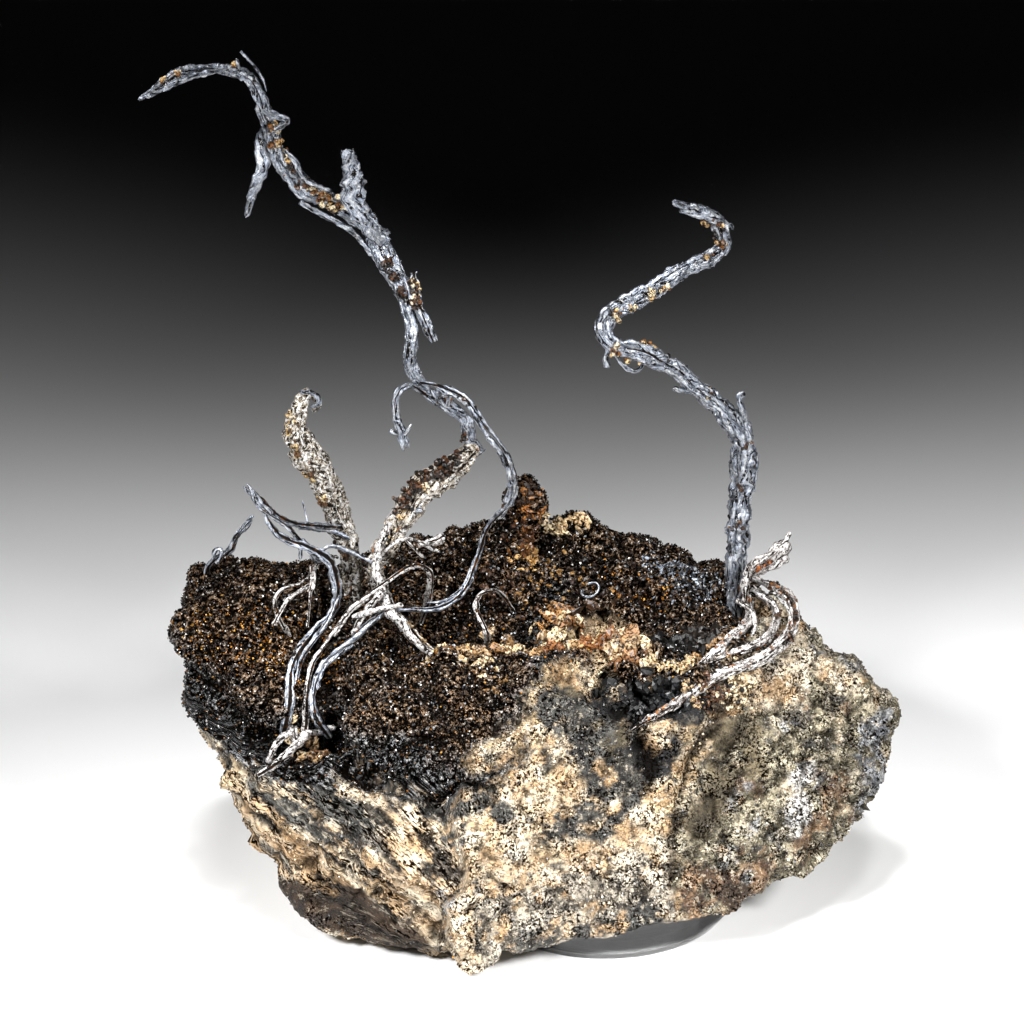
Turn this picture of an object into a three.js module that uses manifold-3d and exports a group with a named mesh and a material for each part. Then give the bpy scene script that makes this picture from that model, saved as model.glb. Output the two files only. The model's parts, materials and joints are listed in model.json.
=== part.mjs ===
// Native silver on its matrix: wires and curls of silver that grow out of one piece of dark, crusted
// host rock, which stands on a small clear disc. Millimetres, +Z up. The origin is the centre of the
// disc's underside, and -Y is the front of the specimen.
import * as THREE from "three";
import { ConvexGeometry } from "three/addons/geometries/ConvexGeometry.js";
import { ImprovedNoise } from "three/addons/math/ImprovedNoise.js";
import { mergeVertices } from "three/addons/utils/BufferGeometryUtils.js";
import Module from "manifold-3d";

const wasm = await Module();
wasm.setup();

// ---- driving dimensions ----
const DISC_RADIUS = 15;
const DISC_HEIGHT = 5.7;
const DISC_ROUNDING = 1.1; // radius of the disc's lower edge
const DISC_CHAMFER = 0.45; // chamfer of its upper edge
const ROUNDING_STEPS = 1; // three.js makes two edges of each
const DISC_SIDES = 36;
const GAP = 0.3; // clear space kept between neighbouring pieces
const WELD = 1e-4; // vertices closer than this are one
const WIRE_STEP = 1.8; // length of one ring of facets along a wire
const FEWEST_RINGS = 3; // of the shortest wires
const FLUTE = 0.13; // how far every second edge of a wire stands out, as a share of its radius
const FLATNESS = 0.18; // how far a wire's section is pressed flat
const TWIST = 0.12; // turn of a wire's section, in radians a millimetre
const ROCK_CENTRE = new THREE.Vector3(-7, 6, 17);
const ROCK_REACH = new THREE.Vector3(42, 25, 19); // half sizes of the oval that its net starts as
const ROCK_DETAIL = 11; // splits along each edge of the oval's 20 first faces

const TOE_TIP = [-14.9, -19.6, 0.8]; // where the rock's front comes down to the shelf

// The rock's lumps, each the convex block round its corners. Together they are the rock.
const LUMPS = {
  foot: [
    [-34.5, -11, 2], [-28, -14.3, 0.4], [-20, -15.8, 0.6], [-5.4, -16.8, 2.4], [3.6, -16.4, 5.2],
    [12.6, -13.6, 5.8], [18.8, -10.3, 5.6], [23.2, -7, 6.5], [27.3, -3.5, 9.2],
    [28, 12, 11], [17, 22, 7], [-8, 26, 6], [-28, 22, 8], [-38, 10, 11],
    [-38, -4, 15], [-20, -13, 17], [9, -7, 18], [26, 0, 19], [0, 26, 20], [-30, 22, 20],
  ],
  toe: [
    TOE_TIP, [-11.6, -18.4, 1], [-5.4, -16.8, 2.4], [-18.1, -17.5, 5.6],
    [-20.3, -16, 11.3], [-5.1, -13, 11.7], [-14.9, -15.2, 12.9], [-19.5, -13, 2.4],
    [-13, -8, 6.5], [-22, -6, 12],
  ],
  left_shelf: [
    [-46.3, 4, 21.7], [-44.4, 2.5, 17.9], [-43, 0, 16.4], [-41, -3, 13.6], [-39.9, -4.5, 11],
    [-37.9, -6, 9.1], [-36.1, -7.5, 7.3], [-34.6, -9.5, 11.1], [-27.9, -13, 13.3],
    [-20.3, -16, 11.3], [-39, -6, 15.4], [-33.4, -8.5, 18.1], [-27.9, -10.5, 19.3],
    [-19.2, -12, 19.5], [-42, 14, 22], [-38, 14, 12], [-15, 4, 20],
  ],
  left_lobe: [
    [-46.3, 13, 33.4], [-44.3, 12, 34.4], [-38.2, 15, 34.3], [-32.9, 17, 32.4], [-45.7, 9, 32.1],
    [-46.4, 6, 28.7], [-46.8, 4, 24.8], [-45.9, 3, 22.1], [-43.7, 1, 19.5], [-37.7, -2.5, 20.7],
    [-32.4, -3.5, 21.5], [-31.6, -1, 25.7], [-31.5, 4, 30.4], [-30, 8, 33], [-37.9, -0.5, 27.4],
    [-44, 18, 27], [-35, 25, 26], [-27, 24, 29], [-41, 17, 16], [-30, 26, 14],
  ],
  centre_lobe: [
    [-27.4, 3, 30], [-22.6, 0, 29], [-13.8, 0, 29.4], [-5.1, 0, 29.4], [-28.4, -3, 26.3],
    [-27.9, -8, 21.6], [-19.2, -11.5, 19.9], [-13.8, -11, 19.6], [-5.1, -4.5, 27.2],
    [-6.7, -7, 23.6], [-19.2, -7, 25.8], [-25, 7, 24], [-5, 7, 25],
  ],
  front_block: [
    [-5.1, -4.5, 27.2], [-5, 2, 30.2], [-0.6, 3.5, 30.8], [3.8, 2.5, 29.5], [7, 1.5, 27.7],
    [10.3, -1, 26.4], [9.1, -5, 22.4], [9.1, -8, 16.6], [9.1, -12, 11.4], [8.4, -14.8, 5.2],
    [3.6, -16.4, 5.2], [-0.7, -16.5, 4], [-14.9, -15.2, 12.9], [-13.8, -11, 19.6],
    [-6.7, -7, 23.6], [-2, 8, 24], [8, 9, 24],
  ],
  right_block: [
    [3.8, 2.5, 29.5], [10.3, -1, 26.4], [9.1, -5, 22.4], [9.1, -8, 16.6], [9.1, -12, 11.4],
    [12.6, -13.6, 5.8], [18.8, -10.3, 5.6], [23.2, -7, 6.5], [27.3, -3.5, 9.2],
    [30.8, 0, 12], [30.9, 1.5, 14.1], [32.2, 4, 16.5], [33, 6, 19], [32.3, 7, 20.9],
    [28.7, 9, 22.6], [24.9, 10, 24], [22.5, 11, 26.5], [21.5, 6.5, 28.2], [14.8, 2, 27.8],
    [15, 8, 30.2], [19.6, 14.5, 29.6], [29, 16, 15.5], [23, 20, 18.5], [27, 16, 11], [17, 23, 8],
    [5, 8, 15],
  ],
  back_slope: [
    [-26, 9, 24], [-12, 8.5, 25.5], [0, 9, 26], [10, 9, 27], [17, 11, 28], [-24.5, 17, 31],
    [-16.6, 19, 34.3], [-1.9, 20.3, 35.3], [6, 19.5, 33.4], [16.1, 17, 31.4], [19.6, 14.5, 29.8],
    [-25, 26, 28], [-10, 29, 29], [5, 28, 28.5], [17, 23, 27], [-29, 27, 18], [-10, 32, 17],
    [7, 30, 16], [21, 23, 17], [-27, 23, 8], [-8, 27, 6.5], [16, 23, 7.5],
  ],
  left_peak: [
    [-21, 18, 32], [-16.6, 19, 35.4], [-11.7, 20, 35.2], [-8, 20, 34], [-12, 14, 32],
    [-12, 26, 32],
  ],
  high_peak: [
    [-6.6, 20, 36], [-3.2, 20.5, 36.8], [-1.6, 20.5, 37], [1.5, 20, 34.6], [-3, 15, 33],
    [-3, 26, 33.5], [-9, 22, 34],
  ],
};

// The crusted knob that stands on the back ridge, as a short thick route like those of the wires.
const KNOB = {
  sides: 8,
  route: [[-9, 19.4, 31, 2.1], [-9.2, 19.4, 35, 1.9], [-8.9, 19.5, 38, 1.7], [-8.7, 19.6, 40.8, 1.1]],
};

// The line that the pale crystals follow along the front edge of the trough, left to right.
const LEDGE = [
  [-19.3, 0.8, 28.6], [-15, 1.4, 29], [-11.6, 2, 29.4], [-8, 2.6, 29.8], [-5, 3, 30.2],
  [-0.6, 3.4, 30.6], [3.8, 2.4, 29.4], [7, 1.4, 27.8], [11, 3.6, 28.4], [14, 6.4, 29.4],
];
const LEDGE_GRAINS = 16;
const GRAIN_SIZE = 1.5;
const BIG_GRAIN = { at: [3.2, 2, 29.6], size: 2.3 }; // the largest pale crystal of the ledge

// The glossy black crystals that fill the recess in the front: [x, y, z, size].
const BLACK_CRYSTALS = [
  [1.2, -2.6, 26.4, 2.2], [3.6, -3.4, 25, 1.9], [6.2, -2.6, 25.4, 2.2], [4.4, -1, 27, 1.9],
  [8.2, -1.4, 26.2, 1.7], [2, -0.6, 28, 1.6],
];

// Hollows cut out of the lumps, each the convex space round its corners.
const HOLLOWS = {
  notch_under_lobe: [
    [-39.5, -5.5, 21.8], [-31.5, -6.5, 23], [-27.5, -8.5, 24], [-39, -6, 19],
    [-30, -9.5, 19.6], [-28.5, -3, 22.6], [-37.5, -0.5, 21.4], [-37, 0, 20], [-29, -3, 20.6],
  ],
  valley: [
    [-33, -7, 24], [-27.5, -7, 25], [-31.5, -5, 30], [-31, 3, 34], [-26.5, 8, 35],
    [-26.5, -2, 30], [-29.6, -1.8, 22.4], [-28.5, 5.5, 27],
  ],
  dark_cavity: [
    [-27, 1.5, 31.5], [-20.5, 1.5, 31.5], [-27.5, 10, 32], [-20, 11, 31], [-26, 3.4, 26],
    [-21, 3.6, 26.2], [-23.5, 9.5, 23.5],
  ],
  crystal_recess: [
    [-1.8, -5.5, 26.4], [3.7, -7.5, 23.6], [9.6, -6, 23.6], [9.8, 1.5, 29.4], [-1, 0.6, 30.4],
    [0.5, -0.5, 25.4], [7.8, 0.4, 25],
  ],
};

// The silver, one entry for each piece. A route is the line that its middle follows, root first, as
// [x, y, z, half thickness]. Where two pieces meet, the later one in this list gives way.
const WIRES = {
  tall_wire_stem: {
    finish: "crusted",
    sides: 8,
    route: [
      [-24.2, 13, 26.5, 0.75], [-24.5, 12, 30.5, 0.85], [-25.4, 11.5, 33.5, 0.9], [-25.4, 11, 36, 0.95],
      [-24, 11, 39, 1.3], [-22.5, 11, 41.5, 1.5], [-20.5, 11.5, 44, 1.45], [-18.5, 12, 45.6, 1.5],
      [-16.5, 12.5, 47, 1.35], [-15.2, 13, 47.8, 1.1], [-14.9, 13, 49, 0.95],
    ],
  },
  tall_wire_shaft: {
    finish: "tarnished",
    sides: 6,
    route: [
      [-14.9, 13, 49, 0.95], [-15.1, 13, 51.3, 1], [-16.3, 12.5, 53.3, 0.9], [-18.5, 11.8, 55.4, 0.7],
      [-20.3, 11, 58.1, 0.8], [-21.4, 10.5, 60.8, 0.75], [-21.1, 11.5, 63.5, 0.7], [-21.4, 13, 66, 1.1],
      [-22.3, 14.2, 68, 1.05], [-23.5, 16, 69.8, 1.35], [-25.3, 18, 72.2, 1.3],
    ],
  },
  tall_wire_crest: {
    finish: "tarnished",
    sides: 6,
    route: [
      [-25.3, 18, 72.2, 1.3], [-26.8, 18.5, 73.7, 1], [-28.3, 18.5, 74.7, 1], [-30, 18, 76.2, 1.2],
      [-31.8, 17.5, 77.5, 1], [-33.3, 16.8, 79.2, 1], [-34.7, 16, 81.6, 1], [-35.6, 15, 84, 0.9],
      [-36.3, 13.5, 88.3, 0.9], [-37, 12, 91.5, 0.7], [-38.3, 9.8, 94.8, 0.65], [-40.1, 8, 96.3, 0.65],
      [-44.6, 3, 98.2, 0.65], [-46.2, 1, 98.1, 0.8], [-47.4, -0.5, 97.4, 0.55], [-48.4, -2, 97.4, 0.35],
    ],
  },
  upright_blade: {
    finish: "tarnished",
    sides: 6,
    route: [
      [-25.6, 17.5, 73, 1.1], [-27.5, 16.5, 77, 1.1], [-27.8, 16, 79, 1], [-27.6, 14.5, 82, 0.8],
      [-28, 13.5, 84.3, 0.4],
    ],
  },
  hanging_spur: {
    finish: "tarnished",
    sides: 4,
    route: [
      [-36.4, 13, 87.6, 0.3], [-37, 11, 86.8, 0.5], [-36.7, 9.5, 85.2, 0.6], [-36.6, 8.7, 84, 0.5],
      [-37.7, 8, 82.3, 0.45], [-38.5, 8, 79.8, 0.2],
    ],
  },
  lower_spur: {
    finish: "tarnished",
    sides: 4,
    route: [
      [-20.9, 13, 68.2, 0.75], [-20.4, 11.9, 66.7, 0.65], [-19.6, 11.5, 65.2, 0.6],
      [-18.8, 11.5, 63.2, 0.2],
    ],
  },
  drop_curl: {
    finish: "tarnished",
    sides: 4,
    route: [
      [-19.9, 10.3, 57.3, 0.4], [-21.3, 8.5, 59.1, 0.4], [-22.5, 7.5, 59.4, 0.45],
      [-23.1, 7, 58.4, 0.45], [-22.8, 7, 56, 0.45], [-22.3, 7, 54, 0.6], [-22, 7, 52.5, 0.3],
    ],
  },
  right_wire: {
    finish: "tarnished",
    sides: 6,
    route: [
      [14.4, 13, 28.5, 1], [14.2, 13.5, 32.5, 1.2], [14.5, 14.5, 37, 1.4], [15.2, 15, 44, 1.45],
      [15.5, 15, 47.5, 1.45], [15, 14.5, 50.5, 1.35], [13.8, 14, 52.7, 1.3], [10.2, 12, 56.9, 0.9],
      [8.6, 11, 58.7, 0.7], [7, 10, 60.5, 0.8], [5.3, 9, 62.1, 0.9], [3.3, 8, 63.3, 1.1],
      [0.5, 7.5, 64.4, 0.95], [-0.7, 8, 65.8, 0.8], [0.2, 9.5, 66.8, 0.95], [4.1, 12.5, 68, 1.05],
      [9, 16, 69.6, 1], [11.2, 17.5, 69.9, 0.9], [12.8, 18.5, 70.7, 0.8], [12.7, 18, 72.3, 0.9],
      [12.1, 17, 74.5, 0.9], [10.9, 16, 76.2, 0.75], [7.5, 14, 78.1, 0.4],
    ],
  },
  thick_stub: {
    finish: "fibrous",
    sides: 8,
    route: [
      [-28, 13, 31.5, 1.1], [-28.4, 12.5, 35.5, 1.35], [-29.6, 12, 41, 1.5], [-30.6, 11.5, 45, 1.7],
      [-32, 11, 48.2, 1.85], [-33.3, 10.5, 51, 1.95], [-33.8, 10.5, 52.7, 1.3],
      [-33.6, 11.2, 54.8, 0.95], [-33.4, 12, 56, 0.65], [-32.7, 12.5, 56.3, 0.45],
      [-31.9, 13.5, 55.1, 0.4], [-31.5, 14.5, 53.8, 0.4], [-32, 15.5, 52.5, 0.25],
    ],
  },
  right_curl: {
    finish: "pale",
    sides: 6,
    route: [
      [15.3, 11, 32.3, 0.8], [15.5, 11.5, 34, 0.9], [16.4, 12, 35.3, 1.05], [18, 12.2, 36, 1.1],
      [19.2, 12.8, 36.6, 0.9], [20.2, 13.5, 37.9, 0.45],
    ],
  },
  root_band_outer: {
    finish: "pale",
    sides: 4,
    route: [
      [17.4, 14, 31.7, 0.5], [19.5, 11.8, 32.1, 0.8], [21, 9.8, 31.2, 0.8], [21.1, 8.5, 29.4, 0.8],
      [19.8, 5.4, 29, 0.7], [17.8, 3.2, 28.4, 0.65], [12.7, 0.6, 27.5, 0.6], [10.3, -0.9, 26.7, 0.55],
      [7.8, -2.6, 25.9, 0.45], [5.4, -4.6, 25.4, 0.4], [3.7, -4.9, 24.3, 0.25],
    ],
  },
  root_band_inner: {
    finish: "pale",
    sides: 4,
    route: [
      [16.8, 13.5, 30.9, 0.45], [18.4, 12.2, 30.4, 0.6], [19.2, 9.7, 30, 0.6], [18.8, 6.9, 29.5, 0.6],
      [17.2, 4.3, 29.5, 0.6], [15, 2.8, 29.3, 0.5], [10.8, 0.9, 28.2, 0.45],
    ],
  },
  root_ribbon: {
    finish: "pale",
    sides: 4,
    route: [
      [16, 13.3, 30.1, 0.55], [16.4, 11, 29.6, 0.65], [15.1, 6.4, 30, 0.65], [13.5, 4.1, 29.5, 0.65],
      [10.4, 0.8, 28.2, 0.4],
    ],
  },
  loop_wire: {
    finish: "tarnished",
    sides: 4,
    route: [
      [-19.4, 10, 58.5, 0.3], [-16.4, 8, 58.6, 0.4], [-14.8, 7, 57.9, 0.4], [-13.9, 6.5, 56.3, 0.35],
      [-11.1, 7, 52, 0.35], [-10.2, 8, 48.9, 0.35], [-10, 9, 46.1, 0.35], [-10.5, 10, 43.8, 0.35],
      [-12.2, 11, 41.5, 0.4], [-13.3, 11.5, 39, 0.4], [-15, 10, 33.9, 0.35], [-16.3, 9, 32.3, 0.4],
      [-18.3, 8.5, 31.3, 0.4], [-20.7, 8, 31.4, 0.35], [-23.5, 7, 32.1, 0.35], [-25.7, 4.5, 32.1, 0.5],
      [-27.2, 3.5, 31, 0.65], [-30.5, 1.3, 29.1, 0.5], [-32.2, -1.4, 26.6, 0.45],
      [-32.1, -2.9, 24.7, 0.45], [-30.4, -2.2, 21.3, 0.45],
    ],
  },
  left_loop_outer: {
    finish: "tarnished",
    sides: 4,
    route: [
      [-38.7, 3, 49.5, 0.2], [-38, 3, 48.4, 0.45], [-36.1, 4.5, 45.4, 0.55], [-34.3, 6, 43.5, 0.45],
      [-30.3, 10, 40.8, 0.45], [-28.8, 12, 39.9, 0.3],
    ],
  },
  left_long_wire: {
    finish: "tarnished",
    sides: 4,
    route: [
      [-37.3, 4, 46.2, 0.25], [-36.5, 4.5, 43.8, 0.45], [-35.2, 4.5, 42.3, 0.5], [-33.3, 4.5, 41.6, 0.5],
      [-31.5, 5, 40.3, 0.55], [-30.2, 5.5, 38.8, 0.65], [-29.5, 5.5, 34.3, 0.55],
      [-30.3, 5, 32.6, 0.55], [-33.4, 1.9, 30.3, 0.5], [-34.5, 0, 28.6, 0.45], [-34.8, -2.3, 25.8, 0.55],
      [-35.1, -3, 24, 0.55], [-35.3, -2.5, 22.2, 0.45],
    ],
  },
  long_arc_wire: {
    finish: "pale",
    sides: 4,
    route: [
      [-20.7, 12, 26.6, 0.3], [-19.7, 10, 31.1, 0.4], [-19.1, 9, 33.9, 0.4], [-19.2, 8, 36.3, 0.35],
      [-20.4, 7.5, 37.5, 0.35], [-21.8, 7, 37.4, 0.35], [-25.4, 6, 34.9, 0.35], [-27.9, 5, 33.7, 0.4],
      [-30.8, 2.5, 30.2, 0.4], [-32.3, 0.5, 28.6, 0.4], [-32.8, -1.5, 26.2, 0.5],
      [-33, -2.2, 23.6, 0.45],
    ],
  },
  left_twin_wire: {
    finish: "tarnished",
    sides: 4,
    route: [
      [-29.5, 4.9, 34.6, 0.25], [-30.5, 3, 32.7, 0.3], [-33.3, 0.9, 29.6, 0.3],
      [-33.9, -0.4, 27.4, 0.3], [-34.4, -2.1, 25, 0.25],
    ],
  },
  foot_piece: {
    finish: "pale",
    sides: 4,
    route: [
      [-35.7, -2.7, 22.4, 0.35], [-34.6, -2.8, 22.3, 0.4], [-33.8, -3.2, 21.2, 0.5],
      [-34.6, -4.3, 20.4, 0.5], [-36.6, -5.6, 19.6, 0.4],
    ],
  },
  left_loop_inner: {
    finish: "tarnished",
    sides: 4,
    route: [
      [-38.6, 2, 49.6, 0.25], [-37.9, 2, 47.5, 0.3], [-35, 4, 44.3, 0.3], [-33.7, 5, 42.3, 0.3],
      [-31.8, 7, 38, 0.3], [-30.6, 10.6, 36.2, 0.3],
    ],
  },
  hook_wire_outer: {
    finish: "pale",
    sides: 4,
    route: [
      [-29.8, 11.4, 36.2, 0.4], [-31.2, 8, 37.8, 0.4], [-32.3, 7, 36.9, 0.4], [-33.2, 5.5, 36.3, 0.35],
      [-34.7, 4.5, 36.2, 0.35], [-36, 4, 36.1, 0.35], [-36.4, 4, 35.1, 0.35], [-36.1, 3.5, 33.5, 0.35],
      [-34.7, 4.2, 29.9, 0.25],
    ],
  },
  hook_wire_inner: {
    finish: "pale",
    sides: 4,
    route: [
      [-32.9, 5, 36.2, 0.3], [-34, 4.5, 35.5, 0.3], [-35.2, 4, 34.6, 0.3], [-35.6, 3.6, 33.7, 0.25],
    ],
  },
  white_twig: {
    finish: "pale",
    sides: 4,
    route: [[-32.4, 6.5, 37.3, 0.25], [-32.3, 4.5, 36.5, 0.3], [-32.5, 2.3, 34.3, 0.2]],
  },
  side_wire: {
    finish: "tarnished",
    sides: 4,
    route: [
      [-44.2, 12, 33, 0.3], [-44.3, 12, 34.4, 0.4], [-43.6, 11.5, 35.6, 0.5], [-41.3, 11, 37.5, 0.4],
      [-40.8, 11, 39, 0.4], [-39.2, 11, 41.4, 0.35],
    ],
  },
  root_ribbon_right: {
    finish: "pale",
    sides: 4,
    route: [
      [-24.4, 10.5, 37.2, 0.45], [-24.3, 7, 39.3, 0.55], [-23.2, 6.5, 40.8, 0.55], [-22, 6.5, 41.3, 0.5],
      [-20.7, 7, 40.6, 0.5], [-19.5, 8, 39.6, 0.45], [-18.2, 9, 39.9, 0.4],
    ],
  },
  root_ribbon_brown: {
    finish: "crusted",
    sides: 4,
    route: [
      [-24.2, 10.5, 31.3, 0.45], [-23.1, 9.5, 30.3, 0.55], [-20.7, 5, 29.6, 0.5], [-19.1, 3, 29.2, 0.45],
      [-17.4, -0.1, 29.6, 0.3],
    ],
  },
  small_arch: {
    finish: "pale",
    sides: 4,
    route: [
      [-10.2, 12.5, 28.8, 0.35], [-11.3, 11.9, 31.2, 0.35], [-12.5, 8.5, 33.7, 0.35],
      [-13.9, 7.5, 34.1, 0.4], [-14.5, 7, 33.2, 0.45], [-13.2, 4, 30.9, 0.45],
      [-13.2, 8.8, 25.9, 0.4],
    ],
  },
};

function hullOf(corners) {
  return new ConvexGeometry(corners.map(([x, y, z]) => new THREE.Vector3(x, y, z)));
}

// A closed geometry as a manifold-3d solid.
function solidOf(geometry) {
  const plain = new THREE.BufferGeometry();
  plain.setAttribute("position", geometry.getAttribute("position"));
  plain.setIndex(geometry.index);
  const merged = mergeVertices(plain, WELD);
  return new wasm.Manifold(
    new wasm.Mesh({
      numProp: 3,
      vertProperties: merged.getAttribute("position").array,
      triVerts: new Uint32Array(merged.index.array),
    }),
  );
}

function geometryOf(solid) {
  const mesh = solid.getMesh();
  const geometry = new THREE.BufferGeometry();
  geometry.setAttribute("position", new THREE.BufferAttribute(mesh.vertProperties, 3));
  geometry.setIndex(new THREE.BufferAttribute(mesh.triVerts, 1));
  const faceted = geometry.toNonIndexed();
  faceted.computeVertexNormals();
  return faceted;
}

function largestBody(solid) {
  return solid.decompose().reduce((a, b) => (a.volume() > b.volume() ? a : b));
}

// Broken stone all over: each corner of the facets is moved by smooth noise of each size.
const ROUGHNESS = [
  { size: 9, height: 1.1 },
  { size: 3.5, height: 0.7 },
];
// The dark crust on top swells into knobs. It fades in between the two heights, and fades out towards
// the bare stone of the right end.
const KNOB_MEAN = 0.2; // what the noise comes to on average, so that knobs add no height overall
const CRUST = { knob: 7, swell: 3.6, heights: [19, 23], bareFrom: [12, 17] };
const noise = new ImprovedNoise();
function roughen(geometry) {
  const position = geometry.getAttribute("position");
  const p = new THREE.Vector3();
  for (let i = 0; i < position.count; i++) {
    p.fromBufferAttribute(position, i);
    const shift = new THREE.Vector3();
    for (const { size, height } of ROUGHNESS) {
      const q = p.clone().divideScalar(size);
      shift.x += height * noise.noise(q.x, q.y, q.z + 7.3);
      shift.y += height * noise.noise(q.x + 17.7, q.y, q.z);
      shift.z += height * noise.noise(q.x, q.y + 31.1, q.z);
    }
    const q = p.clone().divideScalar(CRUST.knob);
    const knob = Math.abs(noise.noise(q.x, q.y, q.z)) - KNOB_MEAN;
    const crusted =
      THREE.MathUtils.smoothstep(p.z, ...CRUST.heights) *
      (1 - THREE.MathUtils.smoothstep(p.x, ...CRUST.bareFrom));
    const away = p.clone().sub(ROCK_CENTRE).normalize();
    p.add(shift).addScaledVector(away, CRUST.swell * crusted * knob);
    position.setXYZ(i, p.x, p.y, Math.max(p.z, 0));
  }
  return geometry;
}

// An even net of facets drawn tight onto a block: each corner slides in towards ROCK_CENTRE until it
// meets the block.
function wrapped(block) {
  const sphere = new THREE.IcosahedronGeometry(1, ROCK_DETAIL);
  const net = mergeVertices(sphere.deleteAttribute("normal").deleteAttribute("uv"), WELD);
  const target = new THREE.Mesh(geometryOf(block));
  const caster = new THREE.Raycaster();
  const position = net.getAttribute("position");
  const p = new THREE.Vector3();
  for (let i = 0; i < position.count; i++) {
    const away = p.fromBufferAttribute(position, i).multiply(ROCK_REACH).normalize().clone();
    caster.set(away.clone().multiplyScalar(100).add(ROCK_CENTRE), away.negate());
    const { point } = caster.intersectObject(target)[0];
    position.setXYZ(i, point.x, point.y, point.z);
  }
  return net;
}

// The corner of the net that lies nearest to a sharp tip is moved onto it.
function pulledTo(tip, geometry) {
  const position = geometry.getAttribute("position");
  const goal = new THREE.Vector3(...tip);
  const p = new THREE.Vector3();
  const distance = (i) => p.fromBufferAttribute(position, i).distanceTo(goal);
  let nearest = 0;
  for (let i = 1; i < position.count; i++) if (distance(i) < distance(nearest)) nearest = i;
  position.setXYZ(nearest, ...tip);
  return geometry;
}

// A faceted grain: an octahedron stretched and turned, different at each seed.
function makeGrain([x, y, z], size, seed) {
  const vary = (k) => noise.noise(seed * 1.37 + k * 5.1, seed * 2.71, k * 3.3);
  const grain = new THREE.OctahedronGeometry(size, 0).deleteAttribute("normal");
  grain.scale(1 + 0.6 * vary(1), 1 + 0.6 * vary(2), 1 + 0.6 * vary(3));
  grain.rotateX(4 * vary(4)).rotateZ(4 * vary(5));
  return solidOf(grain.translate(x, y, z));
}

function makeRock() {
  let rock = null;
  for (const corners of Object.values(LUMPS)) {
    const lump = solidOf(hullOf(corners));
    rock = rock ? rock.add(lump) : lump;
  }
  for (const corners of Object.values(HOLLOWS)) rock = rock.subtract(solidOf(hullOf(corners)));
  rock = solidOf(pulledTo(TOE_TIP, roughen(wrapped(largestBody(rock)))));
  rock = rock.add(makeWire(KNOB));
  const ledge = new THREE.CatmullRomCurve3(LEDGE.map((p) => new THREE.Vector3(...p)));
  for (let i = 0; i < LEDGE_GRAINS; i++) {
    const size = GRAIN_SIZE * (0.7 + 0.3 * Math.sin(i * 2.4));
    rock = rock.add(makeGrain(ledge.getPointAt(i / (LEDGE_GRAINS - 1)).toArray(), size, i));
  }
  rock = rock.add(makeGrain(BIG_GRAIN.at, BIG_GRAIN.size, LEDGE_GRAINS));
  BLACK_CRYSTALS.forEach(([x, y, z, size], i) => {
    rock = rock.add(makeGrain([x, y, z], size, 50 + i));
  });
  return rock;
}

// A wire: a closed cylinder bent along its route, with a fluted, slightly flat section that turns as
// it goes. `grow` makes it thicker and longer all round, for the clear space that others leave to it.
function makeWire({ route, sides }, grow = 0) {
  const points = route.map(([x, y, z]) => new THREE.Vector3(x, y, z));
  const last = points.length - 1;
  const back = points[0].clone().sub(points[1]).setLength(grow);
  const ahead = points[last].clone().sub(points[last - 1]).setLength(grow);
  points[0].add(back);
  points[last].add(ahead);
  const curve = new THREE.CatmullRomCurve3(points, false, "centripetal");
  const length = curve.getLength();
  const rings = Math.max(FEWEST_RINGS, Math.round(length / WIRE_STEP));
  const { normals, binormals } = curve.computeFrenetFrames(rings);
  const rod = new THREE.CylinderGeometry(1, 1, 1, sides, rings);
  const position = rod.getAttribute("position");
  for (let i = 0; i < position.count; i++) {
    const ring = Math.round((position.getY(i) + 0.5) * rings);
    const along = ring / rings;
    const place = curve.getUtoTmapping(along) * last;
    const before = Math.min(Math.floor(place), last - 1);
    const radius = THREE.MathUtils.lerp(route[before][3], route[before + 1][3], place - before);
    const out = Math.hypot(position.getX(i), position.getZ(i));
    const angle = Math.atan2(position.getZ(i), position.getX(i));
    const edge = Math.round((angle / (2 * Math.PI)) * sides);
    const flute = 1 + FLUTE * (edge % 2 === 0 ? 1 : -1);
    const reach = out * (radius * flute + grow);
    const wide = Math.cos(angle) * reach * (1 + FLATNESS);
    const thin = Math.sin(angle) * reach * (1 - FLATNESS);
    const lean = TWIST * along * length;
    const across = Math.cos(lean) * wide - Math.sin(lean) * thin;
    const up = Math.sin(lean) * wide + Math.cos(lean) * thin;
    const p = curve.getPointAt(along);
    p.addScaledVector(normals[ring], across).addScaledVector(binormals[ring], -up);
    position.setXYZ(i, p.x, p.y, p.z);
  }
  return solidOf(rod);
}

// The disc: rounded below, with a small chamfer round its top edge.
function makeDisc(grow = 0) {
  const radius = DISC_RADIUS + grow;
  const top = DISC_HEIGHT + grow;
  const profile = new THREE.Path().moveTo(0, -grow).lineTo(radius - DISC_ROUNDING, -grow);
  profile.absarc(radius - DISC_ROUNDING, DISC_ROUNDING - grow, DISC_ROUNDING, -Math.PI / 2, 0);
  profile.lineTo(radius, top - DISC_CHAMFER).lineTo(radius - DISC_CHAMFER, top).lineTo(0, top);
  const disc = new THREE.LatheGeometry(profile.getPoints(ROUNDING_STEPS), DISC_SIDES);
  return solidOf(disc.rotateX(Math.PI / 2));
}

const specimen = new THREE.Group();
function addPiece(name, solid, material) {
  const mesh = new THREE.Mesh(geometryOf(solid), material);
  mesh.name = name;
  specimen.add(mesh);
}

const paint = (color, roughness, metalness) =>
  new THREE.MeshStandardMaterial({ color, roughness, metalness });
const FINISHES = {
  rock: paint(0x6b5a45, 0.9, 0),
  acrylic: paint(0xdfe5e8, 0.1, 0),
  tarnished: paint(0x98a0ab, 0.45, 0.8),
  pale: paint(0xd8ccc2, 0.5, 0.5),
  fibrous: paint(0xb79c74, 0.6, 0.4),
  crusted: paint(0x6a4630, 0.8, 0.1),
};

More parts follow.
